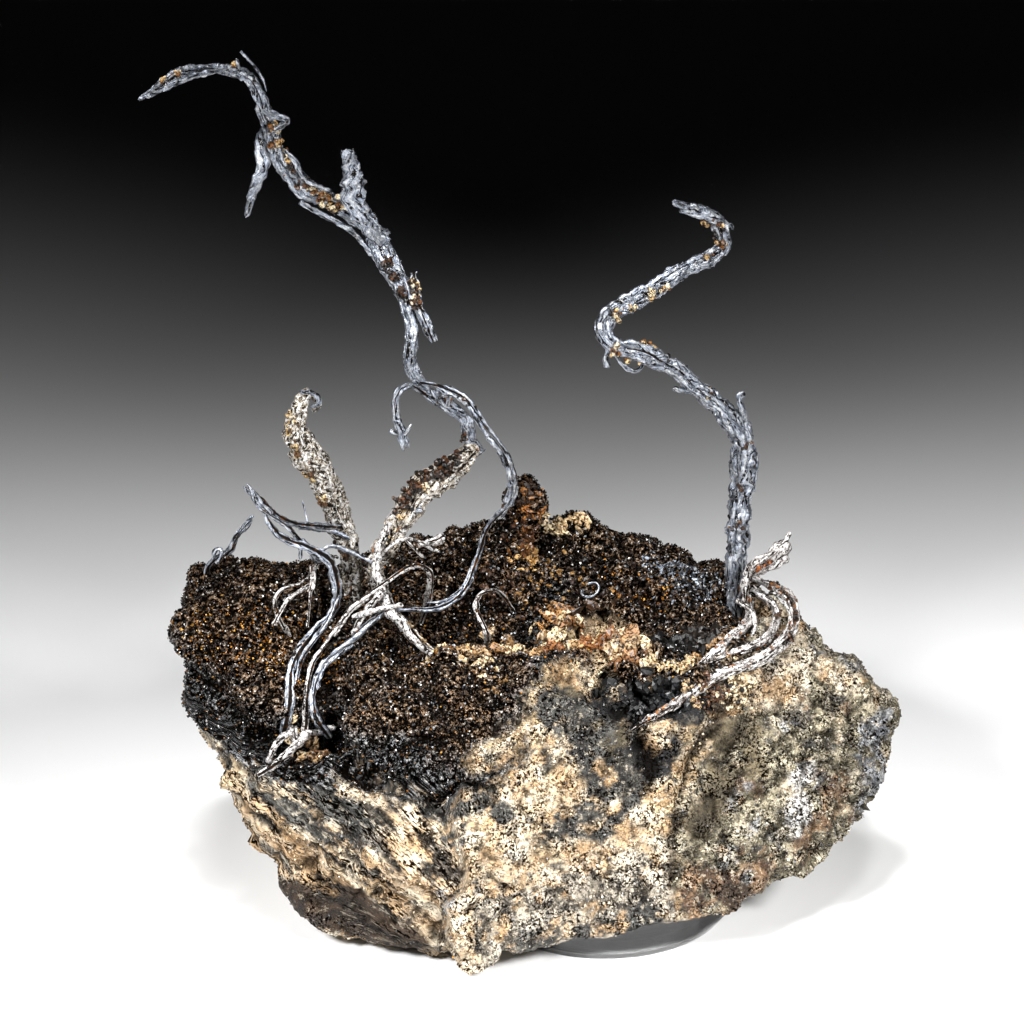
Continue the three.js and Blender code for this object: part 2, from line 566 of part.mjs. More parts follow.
const room = []; // the space that each finished piece needs, with the gap round it
for (const [name, wire] of Object.entries(WIRES)) {
  const whole = makeWire(wire);
  let solid = whole;
  for (const taken of room) solid = solid.subtract(taken);
  solid = largestBody(solid);
  addPiece(name, solid, FINISHES[wire.finish]);
  room.push(makeWire(wire, GAP));
}

const disc = makeDisc();
let rock = makeRock().subtract(makeDisc(GAP));
for (const taken of room) rock = rock.subtract(taken);
addPiece("matrix_rock", largestBody(rock), FINISHES.rock);
addPiece("display_disc", disc, FINISHES.acrylic);

export default specimen;
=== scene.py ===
# Native silver on its matrix: wires and curls of silver that grow out of one piece of dark, crusted
# host rock on a clear disc. Shapes are worked out in millimetres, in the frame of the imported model,
# and handed to Blender in metres.
import heapq
import json
import math

import bpy
import numpy as np
from mathutils import Matrix, Vector
from mathutils.kdtree import KDTree


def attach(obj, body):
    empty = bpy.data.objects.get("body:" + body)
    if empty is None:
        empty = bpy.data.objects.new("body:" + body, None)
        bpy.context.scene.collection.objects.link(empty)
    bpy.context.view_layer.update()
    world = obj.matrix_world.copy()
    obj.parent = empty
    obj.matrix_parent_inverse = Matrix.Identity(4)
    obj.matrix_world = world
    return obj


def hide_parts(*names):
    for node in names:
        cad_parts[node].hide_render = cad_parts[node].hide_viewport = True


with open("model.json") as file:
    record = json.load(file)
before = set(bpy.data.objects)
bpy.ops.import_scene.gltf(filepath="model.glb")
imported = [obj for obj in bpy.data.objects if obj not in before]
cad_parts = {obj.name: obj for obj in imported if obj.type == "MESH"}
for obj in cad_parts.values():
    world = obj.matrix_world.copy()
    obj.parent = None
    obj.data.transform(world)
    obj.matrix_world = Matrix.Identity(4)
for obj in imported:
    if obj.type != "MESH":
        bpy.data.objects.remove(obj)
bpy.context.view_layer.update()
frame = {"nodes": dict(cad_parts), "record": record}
MM = 0.001
FRONT = np.array([0.0, -1.0, 0.0])
SLOT_OF = {part["node"]: part["material_slot"] for part in frame["record"]["subparts"]}



def in_scene(name, data):
    """A new object of the scene that holds `data`."""
    thing = bpy.data.objects.new(name, data)
    bpy.context.scene.collection.objects.link(thing)
    return thing


# ---- camera ----
VIEW_TILT = math.radians(28)  # it looks down by this much, straight towards the back
VIEW_DISTANCE = 600  # mm
VIEW_CENTRE = (-10.3, 19.9, 37.4)  # what it looks at, in mm
LENS = 188.3  # mm
SENSOR = 36  # mm
NEAREST = 0.01  # metres: it draws nothing nearer than this

camera = in_scene("camera", bpy.data.cameras.new("camera"))
camera.data.lens = LENS
camera.data.sensor_width = SENSOR
camera.data.clip_start = NEAREST
back_off = Vector((0, -math.cos(VIEW_TILT), math.sin(VIEW_TILT))) * VIEW_DISTANCE
camera.location = (Vector(VIEW_CENTRE) + back_off) * MM
camera.rotation_euler = (math.pi / 2 - VIEW_TILT, 0, 0)
bpy.context.scene.camera = camera


# ---- random patterns, the same at every run ----
def hashed(cell, seed):
    """A number from 0 to 1 for each whole-number cell x, y, z."""
    x, y, z = (cell[..., i].astype(np.int64) for i in range(3))
    mixed = (x * 73856093 ^ y * 19349663 ^ z * 83492791 ^ seed * 40503) & 0xFFFFFFFF
    mixed = ((mixed ^ (mixed >> 13)) * 1274126177) & 0xFFFFFFFF
    mixed = ((mixed ^ (mixed >> 16)) * 668265263) & 0xFFFFFFFF
    return ((mixed ^ (mixed >> 15)) & 0xFFFF) / 0xFFFF


def noise(points, size, seed=0):
    """Smooth values from -1 to 1 with humps about `size` mm across."""
    place = points / size + 0.37 * seed
    cell = np.floor(place)
    share = place - cell
    share = share * share * (3 - 2 * share)
    total = 0
    for corner in np.ndindex(2, 2, 2):
        weight = np.prod(np.where(np.array(corner) == 1, share, 1 - share), axis=-1)
        total = total + weight * hashed(cell + corner, seed)
    return 2 * total - 1


def wave(along, size, seed):
    """The same as noise, along a line."""
    still = np.full_like(along, 0.5)
    return noise(np.stack([along, still, still], axis=-1), size, seed)


def chips(points, size, seed=0):
    """Random cells `size` mm across: the distance from the cell's middle, the way from it, and one
    random number for the cell."""
    place = points / size
    home = np.floor(place)
    nearest = np.full(len(points), 9.0)
    way = np.zeros_like(points)
    pick = np.zeros(len(points))
    for step in np.ndindex(3, 3, 3):
        cell = home + np.array(step) - 1
        middle = cell + np.stack([hashed(cell, seed + k) for k in (1, 2, 3)], axis=-1)
        apart = place - middle
        distance = np.linalg.norm(apart, axis=1)
        closer = distance < nearest
        way[closer] = apart[closer]
        pick[closer] = hashed(cell[closer], seed + 4)
        nearest = np.where(closer, distance, nearest)
    return nearest, way, pick


def fade(value, low, high):
    """0 below `low`, 1 above `high`, smooth between."""
    share = np.clip((value - low) / (high - low), 0, 1)
    return share * share * (3 - 2 * share)


def blended(a, b, share):
    return a + (b - a) * share


def distance_to(points, route):
    """How far each point is from a line through the route's points."""
    best = np.full(len(points), 1e9)
    route = np.array(route, float)
    for start, end in zip(route[:-1], route[1:]):
        run = end - start
        share = np.clip((points - start) @ run / (run @ run), 0, 1)
        best = np.minimum(best, np.linalg.norm(points - start - share[:, None] * run, axis=1))
    return best


def lengths_along(line):
    """How far each point of a line is from its start, along it."""
    return np.concatenate([[0], np.cumsum(np.linalg.norm(np.diff(line, axis=0), axis=1))])


# ---- meshes ----
def remeshed(node, size):
    """A CAD node's surface as an even net of squares `size` mm wide: corners in mm, and faces."""
    mesh = frame["nodes"][node].data.copy()
    mesh.transform(Matrix.Scale(1 / MM, 4))
    scratch = in_scene("scratch", mesh)
    modifier = scratch.modifiers.new("net", "REMESH")
    modifier.mode = "VOXEL"
    modifier.voxel_size = size
    net = scratch.evaluated_get(bpy.context.evaluated_depsgraph_get()).to_mesh()
    points = np.empty(3 * len(net.vertices))
    net.vertices.foreach_get("co", points)
    faces = np.empty(len(net.loops), int)
    net.loops.foreach_get("vertex_index", faces)
    points, faces = points.reshape(-1, 3), faces.reshape(-1, 4)
    bpy.data.objects.remove(scratch)
    return points, faces


def edges_of(faces):
    sides = np.concatenate([faces[:, [i, (i + 1) % faces.shape[1]]] for i in range(faces.shape[1])])
    return np.unique(np.sort(sides, axis=1), axis=0)


def gathered(values, index, count):
    """Sums rows of values into `count` rows by index."""
    return np.stack([np.bincount(index, column, count) for column in values.T], axis=1)


def relaxed(points, faces, rounds):
    """The net with its corners pulled smooth."""
    a, b = edges_of(faces).T
    count = len(points)
    ways = np.bincount(a, minlength=count) + np.bincount(b, minlength=count)
    for _ in range(rounds):
        total = gathered(points[b], a, count) + gathered(points[a], b, count)
        points = blended(points, total / ways[:, None], 0.5)
    return points


def normals_of(points, faces):
    corners = points[faces]
    across = np.cross(corners[:, 2] - corners[:, 0], corners[:, -1] - corners[:, 1])
    total = sum(gathered(across, faces[:, i], len(points)) for i in range(faces.shape[1]))
    return total / np.maximum(np.linalg.norm(total, axis=1), 1e-12)[:, None]


def add_piece(name, points, faces, material, slot, replaced=(), values=None, smooth=True):
    """Makes a piece of the specimen from corners in mm. `values` are named numbers, vectors or
    colours of its corners, which the material reads."""
    mesh = bpy.data.meshes.new(name)
    mesh.from_pydata((points * MM).tolist(), [], faces if isinstance(faces, list) else faces.tolist())
    kinds = {1: ("FLOAT", "value"), 3: ("FLOAT_VECTOR", "vector"), 4: ("FLOAT_COLOR", "color")}
    for label, rows in (values or {}).items():
        rows = np.asarray(rows, np.float32)
        kind, field = kinds[1 if rows.ndim == 1 else rows.shape[1]]
        mesh.attributes.new(label, kind, "POINT").data.foreach_set(field, rows.ravel())
    mesh.polygons.foreach_set("use_smooth", [smooth] * len(mesh.polygons))
    mesh.materials.append(material)
    piece = in_scene(name, mesh)
    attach(piece, "root")
    if replaced:
        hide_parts(*replaced)
    return piece


# ---- shader helpers ----
def colour(code):
    """An sRGB hex colour as the linear colour that the shaders take."""
    parts = [int(code[i : i + 2], 16) / 255 for i in (1, 3, 5)]
    linear = [p / 12.92 if p <= 0.04045 else ((p + 0.055) / 1.055) ** 2.4 for p in parts]
    return (*linear, 1.0)


def add(tree, kind, inputs=None, output=None, stops=None, **settings):
    """Adds a shader node with its settings, values and links, and gives back one of its outputs."""
    node = tree.nodes.new("ShaderNode" + kind)
    for name, value in settings.items():
        setattr(node, name, value)
    if stops:
        node.color_ramp.elements[1].position = stops[-1][0]
        while len(node.color_ramp.elements) < len(stops):
            node.color_ramp.elements.new(0.5)
        for element, (place, code) in zip(node.color_ramp.elements, stops):
            element.position = place
            element.color = colour(code)
    for name, value in (inputs or {}).items():
        socket = node.inputs[name] if isinstance(name, int) else next(
            s for s in node.inputs if s.enabled and s.name == name
        )
        if isinstance(value, bpy.types.NodeSocket):
            tree.links.new(value, socket)
        else:
            socket.default_value = value
    outputs = [s for s in node.outputs if s.enabled]
    return next(s for s in outputs if s.name == output) if output else outputs[0]


def per_mm(size):
    """The texture scale that makes a pattern `size` mm across, as coordinates are in metres."""
    return 1 / (size * MM)


def new_material(name, **values):
    """A material with its Principled shader, whose plain values are set on its own sockets."""
    material = bpy.data.materials.new(name)
    material.use_nodes = True
    shader = material.node_tree.nodes["Principled BSDF"]
    for label, value in values.items():
        shader.inputs[label.replace("_", " ")].default_value = value
    return material, material.node_tree, shader


MIX = {"data_type": "RGBA"}
TINT = {"data_type": "RGBA", "blend_type": "MULTIPLY"}


# ---- materials ----
# How wide the stone's patterns are, in mm. The real grain goes finer, but finer wouldn't show.
PIT_SIZE = 0.31
GLITTER_SIZE = 0.45
MINERAL_SIZE = 0.85
CRACK_SPACING = 1.3
CALM_SIZE = 2.4


def make_stone():
    """Broken matrix rock. The mesh gives each zone its colour, and painted shade in its hollows. The shader
    adds the mineral grain, which reads as sharp dark pits, thin cracks and pale sparks at the size of a grain
    of salt; the sparks in the crust are partly painted glints."""
    material, tree, shader = new_material("broken_matrix_stone")
    place = add(tree, "Attribute", attribute_name="grain", output="Vector")  # in mm
    zone = add(tree, "Attribute", attribute_name="stone", output="Color")
    # The hollow share is painted shade: it darkens the colour where the surface lies low.
    shares = ("speckled", "crusted", "painted_hollow_shade")
    speckled, crusted, painted_hollow_shade = (add(tree, "Attribute", attribute_name=n, output="Fac") for n in shares)
    # Grains of a darker and a lighter cast, then pits between them. Some patches are calmer.
    fine = {"Vector": place, "Scale": 1 / PIT_SIZE, "Detail": 2.0, "Roughness": 0.8}
    fine = add(tree, "TexNoise", fine)
    pits = [(0.425, "#080605"), (0.455, "#463e36"), (0.485, "#bdb5aa"), (0.53, "#ffffff")]
    pitted = add(tree, "ValToRGB", {"Fac": fine}, stops=pits)
    calm = add(tree, "TexNoise", {"Vector": place, "Scale": 1 / CALM_SIZE, "Detail": 2.0})
    calm = add(tree, "MapRange", {"Value": calm, "From Min": 0.46, "From Max": 0.6, "To Max": 0.85})
    pitted = add(tree, "Mix", {"Factor": calm, "A": pitted, "B": colour("#e6e2dc")}, **MIX)
    # The crust is black between its grains, and its palest grains, partly painted glints, make it glitter
    # like coarse black sugar.
    glitter = {"Vector": place, "Scale": 1 / GLITTER_SIZE, "Detail": 2.0, "Roughness": 0.85}
    glitter = add(tree, "TexNoise", glitter)
    between = [(0.46, "#030202"), (0.5, "#2b2621"), (0.54, "#a39c93"), (0.58, "#ffffff")]
    glittering = add(tree, "ValToRGB", {"Fac": glitter}, stops=between)
    pitted = add(tree, "Mix", {"Factor": crusted, "A": pitted, "B": glittering}, **MIX)
    base = add(tree, "Mix", {"Factor": 1.0, "A": zone, "B": pitted}, **TINT)
    # Separate dark minerals and pale ones, most of all in the salt-and-pepper parts.
    mineral = {"Vector": place, "Scale": 1 / MINERAL_SIZE, "Detail": 3.0, "Roughness": 0.75}
    mineral = add(tree, "TexNoise", mineral)
    dark = add(tree, "MapRange", {"Value": mineral, "From Min": 0.44, "From Max": 0.41, "To Max": 0.85})
    dark = add(tree, "Math", {0: dark, 1: speckled}, operation="MULTIPLY")
    pale = add(tree, "MapRange", {"Value": mineral, "From Min": 0.57, "From Max": 0.6, "To Max": 0.75})
    pale = add(tree, "Math", {0: pale, 1: speckled}, operation="MULTIPLY")
    bright = add(tree, "Mix", {"Factor": 1.0, "A": colour("#f6ead4"), "B": pitted}, **TINT)
    # Thin cracks wander between the grains.
    winding = {"Vector": place, "Scale": 1 / CRACK_SPACING, "Detail": 5.0, "Roughness": 0.72}
    winding = add(tree, "TexNoise", winding)
    winding = add(tree, "Math", {0: winding, 1: -0.5}, operation="ADD")
    winding = add(tree, "Math", {0: winding}, operation="ABSOLUTE")
    crack = add(tree, "MapRange", {"Value": winding, "From Min": 0.016, "From Max": 0.008, "To Max": 0.85})
    # Sparks in the crust: pale crystal specks, partly painted glints.
    spark = add(tree, "MapRange", {"Value": glitter, "From Min": 0.65, "From Max": 0.68})
    spark = add(tree, "Math", {0: spark, 1: crusted}, operation="MULTIPLY")
    # Each goes over the ones before it, and the painted shade in the hollows over them all.
    over = [
        (dark, colour("#1c1917")), (pale, bright), (crack, colour("#17120f")),
        (spark, colour("#c4beb6")), (painted_hollow_shade, colour("#0b0806")),
    ]
    for share, tone in over:
        base = add(tree, "Mix", {"Factor": share, "A": base, "B": tone}, **MIX)
    tree.links.new(base, shader.inputs["Base Color"])
    # No gleam comes out of the pits, nor out of the painted shade in the hollows.
    open_share = add(tree, "Math", {0: 1.0, 1: painted_hollow_shade}, operation="SUBTRACT")
    gleam = add(tree, "Math", {0: pitted, 1: open_share}, operation="MULTIPLY")
    gleam = add(tree, "Math", {0: gleam, 1: 0.45}, operation="MULTIPLY")
    tree.links.new(gleam, shader.inputs["Specular IOR Level"])
    rough = add(tree, "MapRange", {"Value": crusted, "To Min": 0.8, "To Max": 0.3})
    tree.links.new(rough, shader.inputs["Roughness"])
    worn = add(tree, "Bump", {"Height": fine, "Distance": 0.5 * MM, "Strength": 1.0})
    split = add(tree, "Bump", {"Height": crack, "Distance": 0.1 * MM, "Strength": 0.7, "Normal": worn})
    split.node.invert = True
    tree.links.new(split, shader.inputs["Normal"])
    return material


VEIN_SIZE = 0.3


def make_crystal(name, roughness, clear=0.0):
    """Small crystals that take their colour from the mesh. Dark veins cloud each of them, and light
    goes a little way into those that are `clear`."""
    material, tree, shader = new_material(name, Roughness=roughness, Specular_IOR_Level=0.5)
    shader.inputs["Subsurface Weight"].default_value = clear
    shader.inputs["Subsurface Radius"].default_value = (1.0, 0.7, 0.45)
    shader.inputs["Subsurface Scale"].default_value = 0.6 * MM  # about half a grain
    place = add(tree, "TexCoord", output="Object")
    tone = add(tree, "Attribute", attribute_name="tone", output="Color")
    cloud = add(tree, "TexNoise", {"Vector": place, "Scale": per_mm(VEIN_SIZE), "Detail": 3.0})
    veins = [(0.4, "#2a2420"), (0.48, "#b5aca2"), (0.56, "#ffffff")]
    tint = add(tree, "ValToRGB", {"Fac": cloud}, stops=veins)
    base = add(tree, "Mix", {"Factor": 1.0, "A": tone, "B": tint}, **TINT)
    tree.links.new(base, shader.inputs["Base Color"])
    return material


# The silver's patterns: how many fibres a mm holds across a wire and along it, and, in mm, how wide
# its patches of tarnish, its pits and its spots of stain are.
FIBRES_PER_MM = (2.8, 0.4, 1.0)
PATCH_SIZE = 1.6
SILVER_PIT_SIZE = 0.34
RUST_SIZE = 0.8


def make_silver(name, dark, light, stain, stained, metal, roughness, pitted):
    """Native silver under its tarnish: streaks run along the wire, dark stain and painted shade sit in the
    grooves, and rubbed ridges show brighter metal with some painted highlight. `stained` is how much of it
    the stain covers, and
    `pitted` how strongly its small pits and bright points show."""
    material, tree, shader = new_material(name)
    place = add(tree, "TexCoord", output="Object")
    lie = add(tree, "Attribute", attribute_name="lie", output="Vector")
    groove = add(tree, "Attribute", attribute_name="groove", output="Fac")
    stretched = add(tree, "VectorMath", {0: lie, 1: FIBRES_PER_MM}, operation="MULTIPLY")
    streak = add(tree, "TexNoise", {"Vector": stretched, "Scale": 1.0, "Detail": 2.5, "Roughness": 0.7})
    patch = add(tree, "TexNoise", {"Vector": place, "Scale": per_mm(PATCH_SIZE), "Detail": 3.0})
    pits = {"Vector": place, "Scale": per_mm(SILVER_PIT_SIZE), "Detail": 2.0, "Roughness": 0.75}
    pits = add(tree, "TexNoise", pits)
    # The palest streaks go near white: partly bright metal, partly painted highlight.
    base = add(tree, "ValToRGB", {"Fac": streak}, stops=[(0.4, dark), (0.49, light), (0.68, "#f0f2f4")])
    # Broad patches where the tarnish is thicker.
    thick = add(tree, "MapRange", {"Value": patch, "From Min": 0.5, "From Max": 0.62, "To Max": 0.5})
    # Dark lines between the fibres, small black pits, and bright rubbed points that are partly painted
    # highlight.
    line = add(tree, "MapRange", {"Value": streak, "From Min": 0.445, "From Max": 0.41, "To Max": 0.97})
    pit = add(tree, "MapRange", {"Value": pits, "From Min": 0.455, "From Max": 0.41, "To Max": pitted})
    rub_and_highlight = {"Value": pits, "From Min": 0.56, "From Max": 0.61, "To Max": 0.85 * pitted}
    rub_and_highlight = add(tree, "MapRange", rub_and_highlight)
    # Brown stain, first in the grooves and then over the rest.
    wander = add(tree, "Math", {0: patch, 1: streak}, operation="ADD")
    reach = add(tree, "Math", {0: groove, 1: 1.1, 2: wander}, operation="MULTIPLY_ADD")
    edge = {"From Min": 1.62 - stained, "From Max": 1.8 - stained}
    cover = add(tree, "MapRange", {"Value": reach, **edge})
    rust = add(tree, "TexNoise", {"Vector": place, "Scale": per_mm(RUST_SIZE), "Detail": 2.0})
    stains = [(0.42, "#120e0b"), (0.56, stain), (0.68, "#a4682f")]
    stain_tone = add(tree, "ValToRGB", {"Fac": rust}, stops=stains)
    # Painted shade: the grooves between the strands go near black.
    shade = add(tree, "MapRange", {"Value": groove, "From Min": 0.3, "From Max": 0.85, "To Max": 0.88})
    over = [
        (thick, colour(dark)), (line, colour("#16120f")), (pit, colour("#171311")),
        (rub_and_highlight, colour("#f7f6f4")), (cover, stain_tone), (shade, colour("#0f0c0a")),
    ]
    for share, tone in over:
        base = add(tree, "Mix", {"Factor": share, "A": base, "B": tone}, **MIX)
    tree.links.new(base, shader.inputs["Base Color"])
    bare = add(tree, "MapRange", {"Value": cover, "To Min": metal, "To Max": 0.05})
    tree.links.new(bare, shader.inputs["Metallic"])
    # The lines, pits and the painted shade of the grooves don't gleam.
    shut = add(tree, "Math", {0: line, 1: pit}, operation="MAXIMUM")
    shut = add(tree, "Math", {0: shut, 1: shade}, operation="MAXIMUM")
    gleam = add(tree, "MapRange", {"Value": shut, "To Min": 0.5, "To Max": 0.0})
    tree.links.new(gleam, shader.inputs["Specular IOR Level"])
    ends = {"From Min": 0.3, "From Max": 0.7, "To Min": roughness - 0.08, "To Max": roughness + 0.12}
    rough = add(tree, "MapRange", {"Value": streak, **ends})
    tree.links.new(rough, shader.inputs["Roughness"])
    ridges = add(tree, "Bump", {"Height": streak, "Distance": 0.14 * MM, "Strength": 0.9})
    pitting = add(tree, "Bump", {"Height": pits, "Distance": 0.12 * MM, "Strength": 0.9, "Normal": ridges})
    tree.links.new(pitting, shader.inputs["Normal"])
    return material


def make_acrylic():
    """Clear cast acrylic with polished faces and the faint grey of thick plastic."""
    optical = {"Roughness": 0.02, "IOR": 1.49, "Transmission_Weight": 1.0}
    material, tree, shader = new_material("clear_cast_acrylic", **optical)
    depth = add(tree, "VolumeAbsorption", {"Color": colour("#c8cfd2"), "Density": 9.0})
    tree.links.new(depth, tree.nodes["Material Output"].inputs["Volume"])
    return material


STONE = make_stone()
# Fresh small crystal faces: hard, glassy glints out of the dark.
DRUSE = make_crystal("dark_druse_crystals", 0.24)
# Weathered grains: a soft gleam, and a little light inside.
CALCITE = make_crystal("pale_calcite_grains", 0.38, 0.25)
SILVERS = {
    # Bare metal under a thin, even tarnish: a cool blue-grey sheen along the wire.
    "tarnished_silver": make_silver(
        "tarnished_satin_silver", dark="#22262c", light="#9aa3b3", stain="#3a2619",
        stained=0.08, metal=0.85, roughness=0.4, pitted=0.35,
    ),
    # Weathered white near the rock: paler and duller, with dark lines between its fibres.
    "pale_silver": make_silver(
        "pale_weathered_silver", dark="#35302e", light="#c4bcb7", stain="#4a3528",
        stained=0.25, metal=0.45, roughness=0.45, pitted=0.85,
    ),
    # A bundle of fibres with earth between them: rough, brownish and pitted.
    "fibrous_silver": make_silver(
        "fibrous_stained_silver", dark="#1d1711", light="#968872", stain="#35261a",
        stained=0.4, metal=0.3, roughness=0.55, pitted=0.96,
    ),
    # Silver that a thin crust has grown over: pale and dull, with brown in its hollows.
    "crusted_silver": make_silver(
        "crusted_brown_silver", dark="#3c3229", light="#bfb19c", stain="#2a1a11",
        stained=0.42, metal=0.3, roughness=0.6, pitted=0.9,
    ),
}

# ---- the rock ----
ROCK_NET = 0.42  # width of one square of its net
DISC_RADIUS = 15
DISC_TOP = 5.7

# How low the dark crust reaches on the front, from left to right: x, z.
CRUST_EDGE = [
    (-47, 23), (-44, 21.4), (-40, 18.8), (-36, 18.9), (-29, 19.7), (-22, 19.3), (-17, 17.6), (-14, 18.2),
    (-11, 21), (-9, 22.7), (-6.7, 25.3), (-4, 28), (0, 28.8), (4, 27.5), (9, 26.3), (13, 28), (17, 29.4),
]
CRUST_RIGHT = 16.5
# A seam of bare stone climbs through the crust.
BARE_SEAM = [(-3.7, -1, 29.4), (-7.3, -5.2, 26.8), (-10, -7.2, 24.4), (-14, -9.4, 21.8)]
BARE_SEAM_WIDTH = 1.9

# Kinds of stone: a darker and a lighter tone, how much separate dark and pale grains show in it, and
# how far its own grains stand out.
KINDS = {
    "cream": ("#d3b188", "#fff3dc", 0.3, 0.7),
    "tan": ("#9a7a54", "#ecd2a9", 0.45, 0.8),
    "granite": ("#6f685d", "#d9d0c0", 1.0, 0.8),
    "olive": ("#6a6350", "#cfc6ac", 0.75, 0.9),
    "smooth_olive": ("#544c3c", "#7f745d", 0.1, 0.2),
    "brown": ("#2a2018", "#524131", 0.25, 0.3),
    "slate": ("#242424", "#6c6b67", 0.55, 0.6),
    "rust": ("#5c4536", "#a8896a", 0.6, 0.7),
    "white": ("#b5b5b6", "#f4f2ee", 0.6, 0.6),
    "ash": ("#787c83", "#c9ccd0", 0.6, 0.5),
    "black": ("#0a0a0b", "#2c2c2e", 0.1, 0.6),
}

# Patches of each kind: its half width, and the line that it follows.
PATCHES = [
    ("slate", 2.6, [(-37.7, -5.4, 18.4), (-30.1, -9.9, 17.6), (-22.4, -11.7, 18), (-16, -10.6, 17.4)]),
    ("brown", 3.4, [(-35, -10, 5.5), (-28.5, -12.2, 4.6), (-22.5, -14.8, 2.6)]),
    (
        "cream", 1.5,
        [(-42, -3, 14.4), (-38.5, -5.5, 12), (-31, -10.4, 11.2), (-24.4, -13.6, 9.8), (-18, -17, 6.4)],
    ),
    ("cream", 1.6, [(-21, -12.6, 17), (-19.2, -14.4, 14), (-16.4, -16, 10.5)]),
    ("slate", 1.2, [(-37.7, -6.7, 15.6), (-34.6, -8.5, 14.6), (-30.1, -11.1, 13.8), (-26.4, -13.2, 13.4)]),
    ("tan", 1.0, [(-41.5, -2.4, 16), (-36, -8, 12.5), (-29, -11, 11)]),
    ("slate", 1.0, [(-24, -12.5, 16.5), (-21.5, -14, 13)]),
    ("slate", 1.3, [(-10.3, -8.6, 21.6), (-13.4, -9.6, 18), (-16, -10.6, 20.4)]),
    ("slate", 2.4, [(-2, -7, 23), (0, -8, 19.5)]),
    ("granite", 2.4, [(-3.7, -1, 29), (-7.3, -5.2, 26.4), (-10, -7.2, 24), (-14.9, -9.8, 21)]),
    ("tan", 1.8, [(-3.7, -1, 29), (-7.3, -5.2, 26.4), (-10, -7.2, 24), (-14.9, -9.8, 21)]),
    ("smooth_olive", 2.2, [(-4.4, -4.6, 27.4), (-1, -6, 25), (1, -6.5, 24)]),
    ("slate", 2.4, [(-5.4, -5, 26.6), (-1, -6, 25), (1, -6.5, 24)]),
    ("cream", 0.8, [(-8.4, -6.2, 25), (-10, -7.2, 24), (-14.9, -9.8, 21)]),
    ("slate", 1.2, [(-12.5, -10.5, 17), (-17, -13.3, 15)]),
    ("slate", 0.9, [(-5.1, -11.8, 15), (1.5, -10.6, 15.6), (3.7, -8, 19.1)]),
    ("granite", 4.4, [(-12, -16.5, 4.5), (-4, -16, 6.4), (4, -14.5, 8)]),
    ("slate", 1.3, [(-8, -17, 3.6), (-2, -16.6, 4.8), (5, -14.6, 6)]),
    ("cream", 2.7, [(-25, -13.6, 12), (-21, -15.4, 11), (-18, -16, 9), (-16, -16.8, 5)]),
    ("tan", 2.0, [(6.5, -9.2, 17.5), (9, -5.4, 21.2), (12.7, -1, 24.6), (16.2, 1.4, 26.5)]),
    ("cream", 0.8, [(6.5, -9.6, 17.5), (9, -5.8, 21.2), (12.7, -1.4, 24.6)]),
    ("black", 1.6, [(6.4, -6.2, 21.5), (6.6, -7.2, 19.2)]),
    ("black", 1.9, [(1, -2.6, 26), (4.5, -3, 25.2), (8, -2.6, 25.2), (10.5, -1, 25.8)]),
    ("cream", 2.6, [(17.5, 15.5, 29.6), (20.5, 8.5, 28.4), (22, 5.6, 26.7), (17.5, 1, 25)]),
    ("cream", 1.4, [(23.5, 6, 25.5), (27, 6.5, 22.8)]),
    ("smooth_olive", 1.7, [(13.5, -2.5, 21.5), (15, -2.2, 22)]),
    ("smooth_olive", 2.2, [(12.7, -5.7, 17.5), (10.3, -9.1, 15.2)]),
    ("smooth_olive", 1.5, [(16, -4.6, 18), (16.6, -4.2, 19)]),
    ("ash", 1.5, [(30.6, 5, 19), (29.4, 2.2, 16.8), (30.3, 1.4, 14.5), (29.2, -1.2, 12)]),
    ("rust", 2.4, [(9.3, -13, 7.6), (14, -11.5, 7.5), (17, -9.6, 8)]),
    ("brown", 0.9, [(10.3, -12.8, 6.8), (14.6, -11.3, 6.6)]),
    ("rust", 1.0, [(22.5, -6, 10.5), (25.5, -2.8, 14.5)]),
    ("white", 1.0, [(21.4, -3.2, 18.2), (22, -3.4, 17)]),
    ("white", 0.9, [(20.4, -5, 12.6), (21.4, -4.6, 13.4)]),
    ("white", 0.7, [(-17.2, -16.8, 8.6), (-17.8, -16.4, 9.6)]),
]
SOLID_KINDS = ("cream", "brown", "smooth_olive", "white", "black")  # the others are broken up by the base

